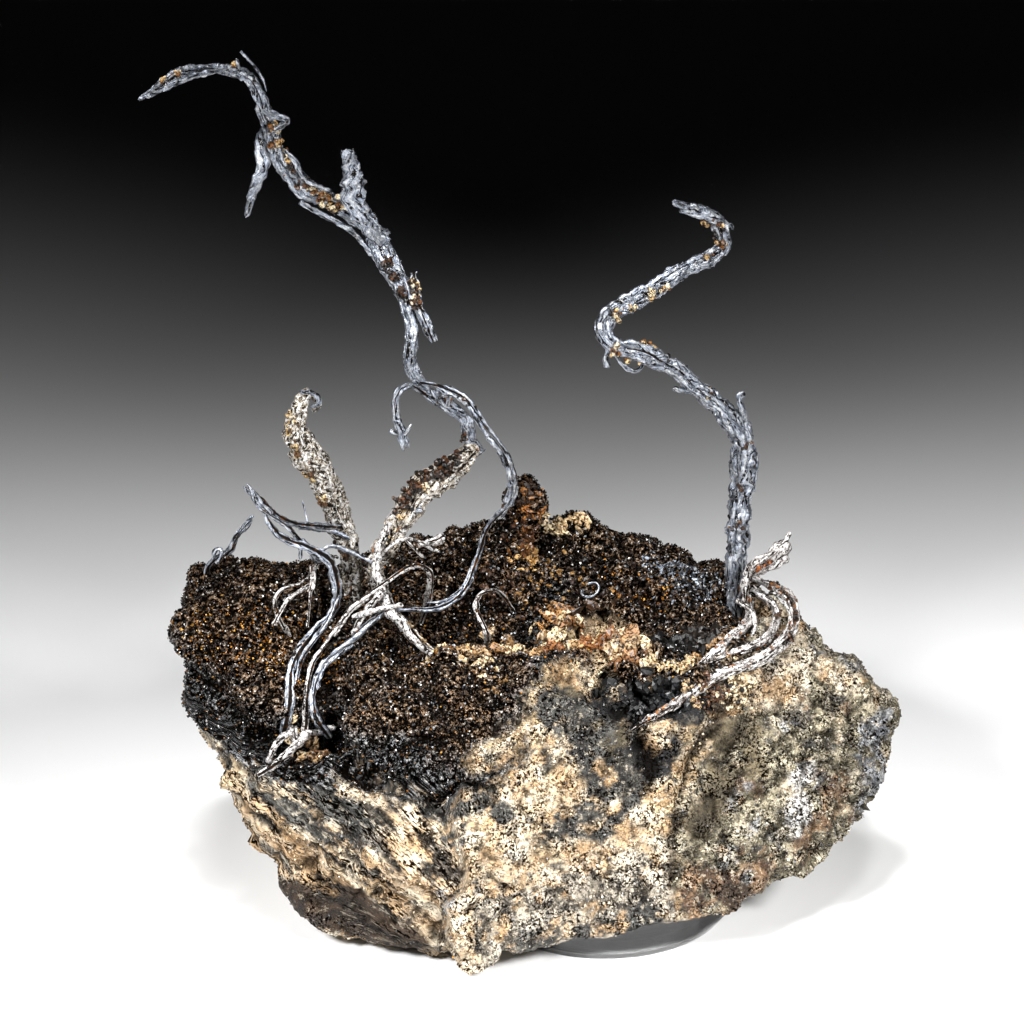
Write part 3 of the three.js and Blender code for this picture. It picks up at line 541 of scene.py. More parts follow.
# Clefts and hollows: half width, depth, and the line that each follows. A swelling has a depth below 0. The
# clefts also get painted shade.
HOLLOWS = [
    (1.4, 0.8, [(-41, -0.5, 24.1), (-37.8, -1.9, 20.8), (-33.5, -4, 20.3), (-29.4, -2.4, 20.6)]),
    (1.7, 1.9, [(-29.4, -2.4, 21), (-31.2, 0, 25.8), (-31.7, 4.8, 29.4), (-30.5, 10.8, 31.2)]),
    (1.9, 2.2, [(-24.4, 5, 27.6), (-22, 1.4, 29), (-20, 0.6, 29.2)]),
    (0.9, 0.5, [(-28.5, -6.9, 20), (-22.5, -10.8, 19.8), (-18.4, -10.2, 18.6)]),
    (1.0, 0.8, [(3.6, -5.1, 25), (5.3, -6.6, 20.8), (4.7, -8.7, 18.3)]),
    (2.2, -1.4, [(-17, -10.5, 17.6), (-14, -9.4, 17.8), (-11.6, -8.6, 18.6)]),
    (1.7, 1.5, [(0.7, -0.6, 27), (3.8, -1.4, 25.1), (7.6, -2, 25.4)]),
    (1.4, 1.2, [(5, 4, 28), (9.6, 5, 28), (13.4, 7.4, 28.8)]),
    (1.4, 1.2, [(-17, 14.4, 30.4), (-11.6, 11.9, 29), (-8, 12.6, 29.4)]),
    (1.1, 1.0, [(-2.1, 16.1, 33.3), (1.7, 13.6, 30.9), (6.2, 10.8, 29.2)]),
    (1.5, 1.4, [(15, 12.6, 29.6), (15.6, 10, 29.4), (15, 7.6, 29)]),
    (0.8, 0.8, [(14.2, -0.5, 24.8), (10.3, -4.4, 22), (8, -9.1, 17.3), (7.1, -11.7, 12.5), (7.5, -14, 7.5)]),
    (0.9, 0.8, [(-13, 7.5, 26.8), (-6, 9.6, 27.6), (0, 9.4, 28)]),
]

# The left side is streaked: its grain is drawn out along this way, round this middle.
STREAK_WAY = np.array([26, -15, -17]) / np.linalg.norm([26, -15, -17])
STREAK_MIDDLE = (-31, -9, 12)
STREAK_DRAWN = 0.72  # 0 leaves the grain as it is, and 1 would draw it out without end
BAND_RIGHT = -16  # the streaked band ends at this x
OLIVE_FROM = (5.8, 8.6)  # the stone turns olive between these x

# Spots of other stone: kind, where, how strong, width in mm, seed, and how much they cover.
SPOTS = [
    ("granite", "right", 0.8, 3.4, 7, 0.2),
    ("rust", "right", 0.85, 2.2, 9, 0.1),
    ("ash", "right", 0.8, 2.6, 16, 0.05),
    ("cream", "right", 0.8, 1.9, 17, 0.12),
    ("tan", "behind", 1, 4.5, 10, 0.3),
    ("brown", "behind", 1, 6, 11, 0.35),
    ("slate", "front", 0.9, 1.9, 12, 0.02),
]
# The crust's own darker and lighter tone: brown on top, grey along its lower left edge.
CRUST_BROWN = ("#2c2018", "#8c7157")
CRUST_GREY = ("#202123", "#83868b")
# Widths in mm: flat chips of the bare stone, and round knobs of the crust.
CHIP_SIZE = 2.6
SMALL_CHIP_SIZE = 1.1
KNOB_SIZE = 1.5
BULGE_SIZE = 3.6
FLOOR_GAP = 0.05  # the rock's lowest corners stop this far above the floor


def rock_zones(points):
    """Where the crust, the streaked band and the grain of the stone lie, at each corner."""
    x, _, z = points.T
    edge = np.interp(x, *np.array(CRUST_EDGE).T)
    band = fade(BAND_RIGHT - x + 2 * noise(points, 4, 3), 0, 1.6) * fade(z + 0.45 * (x + 30), 4.5, 7.5)
    band = band * fade(edge - z, -2.5, 0)
    along = (points - STREAK_MIDDLE) @ STREAK_WAY
    grain = points - STREAK_DRAWN * (band * along)[:, None] * STREAK_WAY
    _, _, clot = chips(grain, 2.2, 4)
    _, _, grit = chips(grain, 0.8, 5)
    wander = 1.4 * noise(grain, 4.5, 1) + noise(grain, 1.8, 2) + 1.2 * (clot - 0.5) + (grit - 0.5)
    crusted = fade(z - edge + 0.8 * wander, -0.4, 0.4) * fade(CRUST_RIGHT - x + wander, -0.5, 0.5)
    seam = BARE_SEAM_WIDTH - distance_to(points, BARE_SEAM) + 0.7 * wander
    crusted = crusted * (1 - fade(seam, -0.4, 0.4))
    # Dark seams run down to the right across the streaked side.
    seams = noise(grain, 1.1, 14) + 0.5 * (grit - 0.5)
    return {
        "edge": edge, "band": band, "grain": grain, "clot": clot, "grit": grit, "wander": wander,
        "crusted": crusted, "seams": seams,
    }


def stone_tones(points, zones):
    """The colour of the stone at each corner, how speckled it is, and how far its grains stand out:
    the broad zones first, then the patches over them, then the crust."""
    edge, band, grain, clot, grit, wander, crusted, seams = zones.values()
    x, y, z = points.T
    light = fade(noise(grain, 1.6, 5) + 0.7 * noise(grain, 0.7, 6) + 0.9 * (grit - 0.5), -0.9, 0.9)[:, None]

    def tone(dark_code, light_code):
        return blended(np.array(colour(dark_code)[:3]), np.array(colour(light_code)[:3]), light)

    def stone_of(kind):
        dark_code, light_code, speckled, grainy = KINDS[kind]
        rest = np.tile([speckled, grainy], (len(points), 1))
        return np.column_stack([tone(dark_code, light_code), rest])

    def spots(size, seed, cover):
        """Ragged spots of about `size` mm that cover more of the surface as `cover` grows."""
        return fade(noise(grain, size, seed) + 0.6 * (grit - 0.5), 0.56 - cover, 0.69 - cover)

    right = fade(x + 0.9 * wander, *OLIVE_FROM)
    behind = fade(y + wander, 9, 12) * fade(27 - z, -1, 3)
    layers = [("tan", 0.8 * spots(3.2, 8, 0.35)), ("olive", np.maximum(right, behind))]
    parts = {"right": right, "behind": behind, "front": 1 - behind}
    for kind, part, strength, size, seed, cover in SPOTS:
        layers.append((kind, strength * spots(size, seed, cover) * parts[part]))
    broken = fade(noise(grain, 1.5, 13) + 0.8 * (grit - 0.5), -0.55, -0.25)
    for kind, width, route in PATCHES:
        share = fade(width - distance_to(points, route) + 0.9 * wander, -0.3, 0.3)
        layers.append((kind, share * (1 if kind in SOLID_KINDS else broken)))
    layers.append(("slate", 0.9 * band * fade(seams, 0.07, 0.3)))
    stone = stone_of("cream")
    for kind, share in layers:
        stone = blended(stone, stone_of(kind), share[:, None])
    stone, speckled, grainy = stone[:, :3], stone[:, 3], stone[:, 4]
    stone = stone * blended(0.8, 1.1, fade(noise(grain, 5, 15) + 0.6 * (clot - 0.5), -0.6, 0.6))[:, None]
    # It is a little darker towards the foot.
    stone = stone * blended(1, 0.86, fade(9 - z, 0, 4))[:, None]
    low_crust = fade(5.5 - (z - edge) + wander, -1.5, 2)[:, None] * fade(-x - 2, 0, 4)[:, None]
    crust = blended(tone(*CRUST_BROWN), tone(*CRUST_GREY), low_crust)
    return blended(stone, crust, crusted[:, None]), speckled, grainy


def relief(points, zones, grainy):
    """How far each corner stands out, in mm: flat chips in the bare stone, round knobs in the crust,
    seams in the streaked band, and hollows. Also how deep in a cleft it is, from 0 to 1, for the painted
    shade there."""
    band, wander, crusted, seams = (zones[name] for name in ("band", "wander", "crusted", "seams"))
    x, y, z = points.T
    _, way, pick = chips(points + 0.6 * noise(points, 2, 20)[:, None], CHIP_SIZE, 21)
    tilt = np.stack([pick * 7 % 1, pick * 13 % 1, pick * 29 % 1], axis=1) * 2 - 1
    chipped = 0.5 * (pick - 0.5) + 0.75 * (way * tilt).sum(1)
    _, _, small_pick = chips(points, SMALL_CHIP_SIZE, 31)
    small_chipped = 0.3 * (small_pick - 0.5)
    knobs, _, _ = chips(points, KNOB_SIZE, 41)
    bulges, _, _ = chips(points, BULGE_SIZE, 45)
    knobbed = 0.9 * (0.5 - knobs * knobs) + 1.7 * (0.45 - bulges * bulges) + 0.8 * noise(points, 6, 42)
    bare = (chipped + small_chipped) * blended(0.35, 1, grainy) + 0.35 * noise(points, 1, 43) * grainy
    bare = bare + 0.7 * noise(points, 3.2, 46)
    height = blended(bare, knobbed, crusted) - 0.5 * band * (1 - crusted) * fade(seams, 0, 0.5)
    cleft_shade = np.zeros(len(points))
    for width, depth, route in HOLLOWS:
        share = fade(width - distance_to(points, route) + 0.5 * wander, -0.3, width)
        height = height - 1.25 * depth * share
        # The clefts also get painted shade.
        cleft_shade = np.maximum(cleft_shade, share * (depth > 0))
    # The rock stays flat where the disc touches it.
    over_disc = DISC_RADIUS + 3.5 - np.hypot(x, y)
    still = fade(over_disc, -1, 1) * fade(DISC_TOP + 2.5 - z, 0, 1.5)
    return height * (1 - still) + 0.12 * noise(points, 0.9, 44), cleft_shade


def dress_rock():
    """The rock over its CAD solid. Returns what the crystals on it are placed and coloured by."""
    points, faces = remeshed("matrix_rock", ROCK_NET)
    points = relaxed(points, faces, 9)
    zones = rock_zones(points)
    crusted = zones["crusted"]
    stone, speckled, grainy = stone_tones(points, zones)
    height, cleft_shade = relief(points, zones, grainy)
    points = points + normals_of(points, faces) * height[:, None]
    points[:, 2] = np.maximum(points[:, 2], FLOOR_GAP)
    # Painted shade: the colour darkens wherever the surface lies lower than what is round it, and in the
    # clefts.
    out = normals_of(points, faces)
    near_depth = ((relaxed(points, faces, 12) - points) * out).sum(1)
    wide_depth = ((relaxed(points, faces, 120) - points) * out).sum(1)
    painted_hollow_shade = np.maximum(fade(near_depth, blended(0.03, 0.0, crusted), 0.25), fade(wide_depth, 0.15, 1.3))
    painted_hollow_shade = np.maximum(painted_hollow_shade * blended(0.75, 0.97, crusted), 0.85 * cleft_shade)
    values = {
        "stone": np.column_stack([stone, np.ones(len(points))]),
        "speckled": speckled * (1 - 0.8 * crusted),
        "crusted": crusted,
        "painted_hollow_shade": painted_hollow_shade,
        "grain": zones["grain"],
    }
    add_piece("rock", points, faces, STONE, "rock", ["matrix_rock"], values)
    return points, faces, crusted, stone, grainy


# ---- crystals ----
CORNERS = np.array([[1, 0, 0], [-1, 0, 0], [0, 1, 0], [0, -1, 0], [0, 0, 1], [0, 0, -1]], float)
SIDES = np.array([[0, 2, 4], [2, 1, 4], [1, 3, 4], [3, 0, 4], [2, 0, 5], [1, 2, 5], [3, 1, 5], [0, 3, 5]])


def cloud(centres, own, turn, sides, tones):
    """Crystals as one mesh, each with its own corners, turned, round its centre: corners, faces and
    their tones."""
    count, each = own.shape[:2]
    points = centres[:, None] + own @ turn.transpose(0, 2, 1)
    faces = sides + each * np.arange(count)[:, None, None]
    colours = np.repeat(np.column_stack([tones, np.ones(count)]), each, axis=0)
    return points.reshape(-1, 3), faces.reshape(-1, 3), colours


def crystals(centres, sizes, tones, seed):
    """Uneven eight-sided crystals, each turned its own way."""
    chance = np.random.default_rng(seed)
    count = len(centres)
    w, i, j, k = (chance.normal(size=(count, 4)) + 1e-9).T
    size = np.sqrt(w * w + i * i + j * j + k * k)
    w, i, j, k = w / size, i / size, j / size, k / size
    turn = np.array([
        [1 - 2 * (j * j + k * k), 2 * (i * j - k * w), 2 * (i * k + j * w)],
        [2 * (i * j + k * w), 1 - 2 * (i * i + k * k), 2 * (j * k - i * w)],
        [2 * (i * k - j * w), 2 * (j * k + i * w), 1 - 2 * (i * i + j * j)],
    ]).transpose(2, 0, 1)
    own = CORNERS * chance.uniform(0.6, 1.25, (count, 6, 1)) * sizes[:, None, None]
    return cloud(centres, own, turn, SIDES, tones)


def round_lump():
    """A ball of 18 corners: an octahedron with the middles of its edges pushed out."""
    points, faces = CORNERS.tolist(), []
    made = {}
    for face in SIDES.tolist():
        middles = []
        for a, b in zip(face, face[1:] + face[:1]):
            key = (min(a, b), max(a, b))
            if key not in made:
                made[key] = len(points)
                middle = CORNERS[a] + CORNERS[b]
                points.append((middle / np.linalg.norm(middle)).tolist())
            middles.append(made[key])
        ab, bc, ca = middles
        faces += [[face[0], ab, ca], [face[1], bc, ab], [face[2], ca, bc], [ab, bc, ca]]
    return np.array(points), np.array(faces)


def lumps(centres, sizes, tones, seed, shape=(1, 1, 1)):
    """Worn, rounded grains, each of its own shape."""
    chance = np.random.default_rng(seed)
    ball, sides = round_lump()
    count = len(centres)
    own = ball * shape * chance.uniform(0.72, 1.2, (count, len(ball), 1)) * sizes[:, None, None]
    turn = np.linalg.qr(chance.normal(size=(count, 3, 3)))[0]
    turn = turn * np.linalg.det(turn)[:, None, None]  # no mirrored ones
    return cloud(centres, own, turn, sides, tones)


def strewn(points, faces, weights, count, seed):
    """Random places on a surface, thicker where weights are high: places, ways out, and corners."""
    chance = np.random.default_rng(seed)
    corners = points[faces]
    area = np.linalg.norm(np.cross(corners[:, 2] - corners[:, 0], corners[:, 3] - corners[:, 1]), axis=1)
    share = area * weights[faces].mean(1)
    picked = chance.choice(len(faces), count, p=share / share.sum())
    u, v = chance.uniform(size=(2, count, 1))
    four = corners[picked]
    places = blended(blended(four[:, 0], four[:, 1], u), blended(four[:, 3], four[:, 2], u), v)
    ways = normals_of(points, faces)[faces[picked, 0]]
    return places, ways, faces[picked, 0]


def tones_of(codes, shares, count, seed):
    """A colour for each of `count` crystals, drawn from the list by its shares."""
    chance = np.random.default_rng(seed)
    palette = np.array([colour(code)[:3] for code in codes])
    picked = palette[chance.choice(len(codes), count, p=np.array(shares) / sum(shares))]
    return picked * chance.uniform(0.7, 1.25, (count, 1))


CRUST_GRAINS = 24000
# The crust crystals' tones; the few palest stand partly for painted glints.
CRUST_TONES = ["#040303", "#18110c", "#46331f", "#7a5d40", "#3c3f44", "#9b9da1", "#f4f2ee"]
CRUST_SHARES = [44, 20, 12, 8, 9, 5, 3]
GOLD_TONES = ["#b0752e", "#8f571f", "#d6a04e"]
# Where orange and gold specks gather in the crust: half width, and the line that they follow.
GOLD_SPECKS = [
    (4.2, [(-43, 5, 30), (-38, 4, 29.5), (-33, 3, 28)]),
    (1.8, [(-8.5, -3, 27.5), (-9.5, -4, 26.6)]),
    (1.5, [(5.5, 14, 31.5), (6.5, 12, 30)]),
    (1.3, [(-9, 18, 33), (-6, 17.5, 32)]),
    (1.4, [(1.5, 15, 31.5), (3, 13, 30)]),
    (2.4, [(-22, 2, 29), (-18, 1, 29)]),
]
STONE_GRAINS = 18000


def add_rock_grains(points, faces, crusted, stone, grainy):
    """The druse of the crust and the loose grain of the bare stone."""
    chance = np.random.default_rng(11)
    places, ways, _ = strewn(points, faces, 0.02 + crusted, CRUST_GRAINS, 12)
    sizes = chance.uniform(0.08, 0.19, CRUST_GRAINS) * (1 + 0.35 * noise(places, 3, 13))
    tones = tones_of(CRUST_TONES, CRUST_SHARES, CRUST_GRAINS, 14)
    golden = [fade(width - distance_to(places, route), -1, 1.5) for width, route in GOLD_SPECKS]
    golden = np.max(golden, axis=0)
    gold = tones_of(GOLD_TONES, [3, 3, 2], CRUST_GRAINS, 15)
    tones = np.where((chance.uniform(size=CRUST_GRAINS) < 0.02 + 0.42 * golden)[:, None], gold, tones)
    add_piece("crust_druse", *drawn(crystals(places + 0.12 * ways, sizes, tones, 16), DRUSE, "rock"))
    places, _, near = strewn(points, faces, (1 - crusted) * grainy**2, STONE_GRAINS, 17)
    sizes = chance.uniform(0.1, 0.24, STONE_GRAINS)
    lift = chance.choice([0.12, 0.5, 0.9, 1.25], (STONE_GRAINS, 1), p=[0.3, 0.2, 0.3, 0.2])
    tones = np.minimum(stone[near] * lift + 0.02, 0.95)
    add_piece("stone_grains", *drawn(crystals(places, sizes, tones, 18), CALCITE, "rock"))


def drawn(parts, material, slot):
    """The arguments of add_piece for a cloud of crystals."""
    points, faces, colours = parts
    return points, faces, material, slot, (), {"tone": colours}, False


FLAKE = (1.5, 0.95, 0.42)  # flat and longish
NUGGET = (1.2, 0.9, 0.65)
# Larger crystals on the rock: their shape, tones, how many, size, how far they spread, and the line
# that they follow.
CLUSTERS = [
    (
        FLAKE, ["#d8c09a", "#b8976e", "#8f6a44"], 110, 0.75, 1.0,
        [(-19.5, 0.6, 28.6), (-15, 1, 29), (-11.6, 2, 29.4)],
    ),
    (
        FLAKE, ["#dcc6a0", "#bf9a70", "#8f5c30"], 130, 0.8, 1.0,
        [(-11.6, 2, 29.4), (-8, 2.4, 29.8), (-5, 3, 30.4)],
    ),
    (
        FLAKE, ["#dfcaa4", "#c09a70", "#8a5a34"], 150, 1.0, 1.4,
        [(-5, 6.5, 30), (-3, 5, 30.6), (-0.6, 3.6, 30.6)],
    ),
    (
        NUGGET, ["#cfb08a", "#b08a66", "#e3caa4", "#87603f"], 90, 1.2, 1.4,
        [(1.4, 2.4, 30.4), (3.6, 1.6, 29.6)],
    ),
    (NUGGET, ["#6c4a2e", "#8c6038", "#3c2416"], 90, 0.6, 1.2, [(0.8, 0.9, 28.8), (3.2, 0.6, 28.2)]),
    (
        FLAKE, ["#d6bc94", "#a8855c"], 90, 0.7, 0.6,
        [(5, 1.6, 28.6), (8.2, 1.2, 27.6), (11, 3, 28.2), (14, 6.4, 29.4)],
    ),
    (
        NUGGET, ["#040405", "#0c0d0e", "#191b1e"], 260, 0.85, 2.0,
        [(0.5, -1.6, 26.4), (4.6, -2, 25.4), (8, -1.2, 25.8)],
    ),
    (
        NUGGET, ["#070606", "#14110f", "#241e19"], 200, 0.8, 2.0,
        [(5.4, 4.6, 28.6), (9, 5, 28.6), (12, 7, 29)],
    ),
    (
        FLAKE, ["#d8b078", "#c29a62", "#8a5a30", "#5a3a22"], 170, 0.6, 1.5,
        [(-9.2, 18, 31.4), (-9, 18.2, 35)],
    ),
    (
        FLAKE, ["#7a4a26", "#5a3820", "#a8713c", "#3a2618"], 260, 0.55, 1.5,
        [(-9.1, 18.6, 35), (-8.8, 19, 41)],
    ),
    (FLAKE, ["#e2cda8", "#c9ad86"], 50, 0.8, 1.2, [(-6.4, 18.6, 36), (-3, 19.6, 37.2)]),
    (FLAKE, ["#d9c4a0", "#b3946c", "#6d5038"], 70, 0.7, 1.3, [(-34.5, -3.2, 21.6), (-31, -4.5, 20.6)]),
    # Pale blue-grey crystals at the back right; their pale tones are partly painted glints.
    (
        FLAKE, ["#8d97a6", "#343a44", "#c3cbd6"], 560, 0.27, 3.2,
        [(6, 16, 32), (9, 15, 31.2), (13, 14.5, 30.6)],
    ),
    (FLAKE, ["#d9c4a0", "#8a6a44"], 40, 0.6, 1.0, [(-14, -0.5, 28.6), (-12, -2.5, 27.4)]),
    (
        FLAKE, ["#c9ad86", "#8a6a44", "#d9c4a0", "#4a3424"], 170, 0.8, 2.6,
        [(-13, 7, 26.5), (-7, 8, 27), (-1, 9, 27.5)],
    ),
    (
        FLAKE, ["#b98a58", "#8a5f38", "#e0c8a0"], 90, 0.9, 1.6,
        [(-6.6, 11.6, 29), (-3.4, 10.4, 28.6), (-3, 8, 28.6)],
    ),
    (NUGGET, ["#5a3e28", "#94703f", "#2a1a10"], 260, 0.45, 3.6, [(-16, 13, 30), (-6, 15, 32), (6, 13, 30)]),
    (
        NUGGET, ["#c9ad86", "#5a3a22", "#1a1410", "#e6d3b0"], 300, 0.45, 2.0,
        [(9.5, -1.6, 26), (12.5, -0.5, 26), (15, 1, 26)],
    ),
]


def add_clusters(points):
    """The larger crystals, each settled on the nearest rock."""
    clouds = []
    for seed, (shape, codes, count, size, spread, route) in enumerate(CLUSTERS, 60):
        chance = np.random.default_rng(seed)
        route = np.array(route, float)
        along = chance.uniform(0, len(route) - 1, count)
        first = np.minimum(along.astype(int), len(route) - 2)
        places = blended(route[first], route[first + 1], (along - first)[:, None])
        places = settled(places + chance.normal(0, spread / 2, (count, 3)), points)
        sizes = size * chance.uniform(0.35, 1, count) ** 1.5
        tones = tones_of(codes, [1] * len(codes), count, seed)
        clouds.append(lumps(places, sizes, tones, seed, shape))
    add_piece("rock_crystals", *drawn(joined(clouds), CALCITE, "rock"))


def settled(places, surface):
    """Each place moved to the nearest corner of a surface."""
    moved = places.copy()
    for i, place in enumerate(places):
        moved[i] = surface[np.argmin(((surface - place) ** 2).sum(1))]
    return moved


def joined(parts):
    """Several (corners, faces, values) as one."""
    starts = np.cumsum([0] + [len(part[0]) for part in parts[:-1]])
    points = np.concatenate([part[0] for part in parts])
    faces = np.concatenate([part[1] + start for part, start in zip(parts, starts)])
    return points, faces, np.concatenate([part[2] for part in parts])


# ---- the silver ----
NET = {"thick": 0.25, "thin": 0.15}  # net widths used to find the middle line of a wire
THICK = {
    "right_wire", "tall_wire_stem", "tall_wire_shaft", "tall_wire_crest", "thick_stub",
    "upright_blade", "right_curl",
}
ROOT_HIGH = {"hanging_spur", "lower_spur", "drop_curl", "loop_wire"}  # these hang from their upper end
INTO_ROCK = 1.2  # how far a wire is carried on past its root
THINNEST = 0.12  # the least half thickness of a wire


def walked(ways, start):
    """How far each corner is from one of them over the net. Those out of reach are at infinity."""
    far = [math.inf] * len(ways)
    far[start] = 0
    queue = [(0, start)]
    while queue:
        gone, here = heapq.heappop(queue)
        if gone > far[here]:
            continue
        for there, length in ways[here]:
            if gone + length < far[there]:
                far[there] = gone + length
                heapq.heappush(queue, (gone + length, there))
    return np.array(far)


def farthest(far):
    return int(np.argmax(np.where(np.isfinite(far), far, -1)))


def from_root(node, points):
    """The corners of a wire's net, and how far each is from its root over the net."""
    nearby = KDTree(len(points))
    for i, point in enumerate(points):
        nearby.insert(point, i)
    nearby.balance()
    reach = max(2 * NET["thick" if node in THICK else "thin"], 0.4)
    ways = [[row[1:] for row in nearby.find_range(point, reach)] for point in points]
    one_end = farthest(walked(ways, int(np.argmax(points[:, 2]))))
    far = walked(ways, one_end)
    other_end = farthest(far)
    kept = np.isfinite(far)
    high_end = points[one_end, 2] > points[other_end, 2]
    if high_end != (node in ROOT_HIGH):
        far = far[other_end] - far
    along = far[kept]
    return points[kept], along - along.min()


def averaged(values, slot, count):
    """The mean of the rows of values that share a slot."""
    return gathered(values, slot, count) / np.maximum(np.bincount(slot, minlength=count), 1)[:, None]


def middle_line(node):
    """The line down the middle of a CAD wire, root first, and its half thickness, each 1 mm. Each
    turn divides the wire by the line of the turn before, and so finds a truer one."""
    points, along = from_root(node, remeshed(node, NET["thick" if node in THICK else "thin"])[0])
    for turn in range(3):
        count = max(3, round(along.max()))
        slot = np.minimum((along / along.max() * count).astype(int), count - 1)
        line = averaged(points, slot, count)
        line = smoothed(line[np.bincount(slot, minlength=count) > 0], 0 if turn == 2 else 1)
        line = np.vstack([2 * line[0] - line[1], line, 2 * line[-1] - line[-2]])
        best = np.full(len(points), 1e9)
        start = lengths_along(line)
        place = np.zeros(len(points))
        guess = along / along.max() * (len(line) - 1)
        for i, (a, b) in enumerate(zip(line[:-1], line[1:])):
            run = b - a
            share = np.clip((points - a) @ run / (run @ run), 0, 1)
            away = np.linalg.norm(points - a - share[:, None] * run, axis=1)
            closer = (away < best) & (np.abs(guess - i) < 5)
            best[closer] = away[closer]
            place[closer] = start[i] + share[closer] * (start[i + 1] - start[i])
        along = place - place.min()
    radius = averaged(best[:, None], slot, len(line) - 2)
    radius = np.concatenate([radius[:1], radius, radius[-1:]])
    return line, np.maximum(smoothed(radius, 1)[:, 0], THINNEST)


def smoothed(line, rounds):
    for _ in range(rounds):
        inner = 0.25 * line[:-2] + 0.5 * line[1:-1] + 0.25 * line[2:]
        line = np.vstack([line[:1], inner, line[-1:]])
    return line


KINK = 0.45  # how far a wire strays from its smooth line, as a share of its half thickness


def redrawn(line, radius, step, before=0.0):
    """The line with a point every `step` mm, smooth, and carried on `before` mm past its start."""
    if before:
        ahead = line[0] - line[1]
        line = np.vstack([line[0] + ahead / np.linalg.norm(ahead) * before, line])
        radius = np.concatenate([radius[:1], radius])
    along = lengths_along(line)
    fine = np.linspace(0, along[-1], max(4, round(along[-1] / step)))
    line = np.column_stack([np.interp(fine, along, column) for column in line.T])
    radius = np.interp(fine, along, radius)
    rounds = max(1, round((0.32 / step) ** 2))
    line, radius = smoothed(line, rounds), smoothed(radius[:, None], rounds)[:, 0]
    # Hand-torn unevenness: small kinks, and swellings.
    kink = np.stack([noise(line, 2.6, seed) for seed in (51, 52, 53)], axis=1)
    swell = 1 + 0.16 * noise(line, 2.2, 54) + 0.1 * noise(line, 0.9, 55)
    return line + KINK * kink * np.minimum(radius, 0.6)[:, None], radius * swell, fine


def frames_along(line):
    """Two ways across the line at each point, the first as level with the front as it can be."""
    ahead = np.gradient(line, axis=0)
    ahead /= np.linalg.norm(ahead, axis=1)[:, None]
    wide = np.cross(ahead[0], FRONT)
    rows = []
    for way in ahead:
        wide = wide - way * (wide @ way)
        facing = np.cross(way, FRONT)
        wide = wide + 0.05 * facing * np.sign(facing @ wide + 1e-9)
        wide = wide / np.linalg.norm(wide)
        rows.append(wide)
    wide = np.array(rows)
    return wide, np.cross(ahead, wide)


# How far the middle of each grown-together strand is from the wire's own, and the strand's half
# thickness, both as shares of the wire's, by the number of strands.
STRAND_SHAPES = {1: (0.1, 0.95), 2: (0.45, 0.58), 3: (0.5, 0.56), 4: (0.57, 0.5), 5: (0.62, 0.43)}


def wire_skin(line, radius, along, look, seed):
    """The skin of one wire: several strands grown together, side by side, with ragged edges."""
    strands, flat, ragged, sides, twist = (look[k] for k in ("strands", "flat", "ragged", "sides", "twist"))
    angle = np.arange(sides) * 2 * math.pi / sides
    reach = np.zeros((len(line), sides))
    for k in range(strands):
        lean = k * 2 * math.pi / strands + twist * along + 0.35 * wave(along, 7, seed + k)
        off, size = STRAND_SHAPES[strands]
        off = off * (1 + 0.22 * wave(along, 5, seed + 10 + k))
        size = size * (1 + 0.14 * wave(along, 3.5, seed + 20 + k))
        aim = np.cos(angle - lean[:, None])
        inside = size[:, None] ** 2 - off[:, None] ** 2 * (1 - aim**2)
        reach = np.maximum(reach, off[:, None] * aim + np.sqrt(np.maximum(inside, 0)))
    groove = fade(0.86 - reach, 0, 0.35)
    around = np.stack(np.broadcast_arrays(np.cos(angle) * 2.2, np.sin(angle) * 2.2, along[:, None] / 3.2), -1)
    reach = reach * (1 + 0.09 * noise(around * 1.6, 1, seed + 30))
    wide, thin = frames_along(line)
    across = (np.cos(angle) * (1 + flat))[..., None] * wide[:, None]
    through = (np.sin(angle) * (1 - flat))[..., None] * thin[:, None]
    way = across + through
    size = radius[:, None] * reach
    rough = line[:, None] + way * size[..., None]
    flesh = noise(rough, 0.55, seed + 31) + 0.6 * noise(rough, 0.28, seed + 32)
    size = size + ragged * 0.32 * np.sqrt(radius)[:, None] * flesh
    to_tip = (along[-1] - along) / np.maximum(radius, 0.15)
    size = np.maximum(size, 0.08) * np.sqrt(1 - (1 - np.clip(to_tip, 0, 1)) ** 2 + 0.01)[:, None]
    points = line[:, None] + way * size[..., None]
    lie = np.stack(np.broadcast_arrays(angle * radius[:, None], along[:, None], seed), -1)
    pits = fade(-flesh, 0.35, 0.9) * ragged
    return tube(points, np.clip(groove + 0.5 * pits, 0, 1), lie)


def tube(points, groove, lie):
    """Rings of corners as one closed skin: corners, faces, and the groove and lie of each."""
    rings, sides = groove.shape
    ring = np.arange(rings - 1)[:, None] * sides
    side, after = np.arange(sides), (np.arange(sides) + 1) % sides
    faces = np.stack([ring + side, ring + after, ring + sides + after, ring + sides + side], -1)
    faces = faces.reshape(-1, 4)
    ends = np.array([points[0].mean(0), points[-1].mean(0)])
    first, last = rings * sides, rings * sides + 1
    top = first - sides
    caps = [[first, after[i], i, i] for i in side]
    caps += [[last, top + i, top + after[i], top + after[i]] for i in side]
    points = np.vstack([points.reshape(-1, 3), ends])
    extra = np.column_stack([groove.ravel(), lie.reshape(-1, 3)])
    extra = np.vstack([extra, extra[:1], extra[-1:]])
    return points, np.vstack([faces, caps]), extra


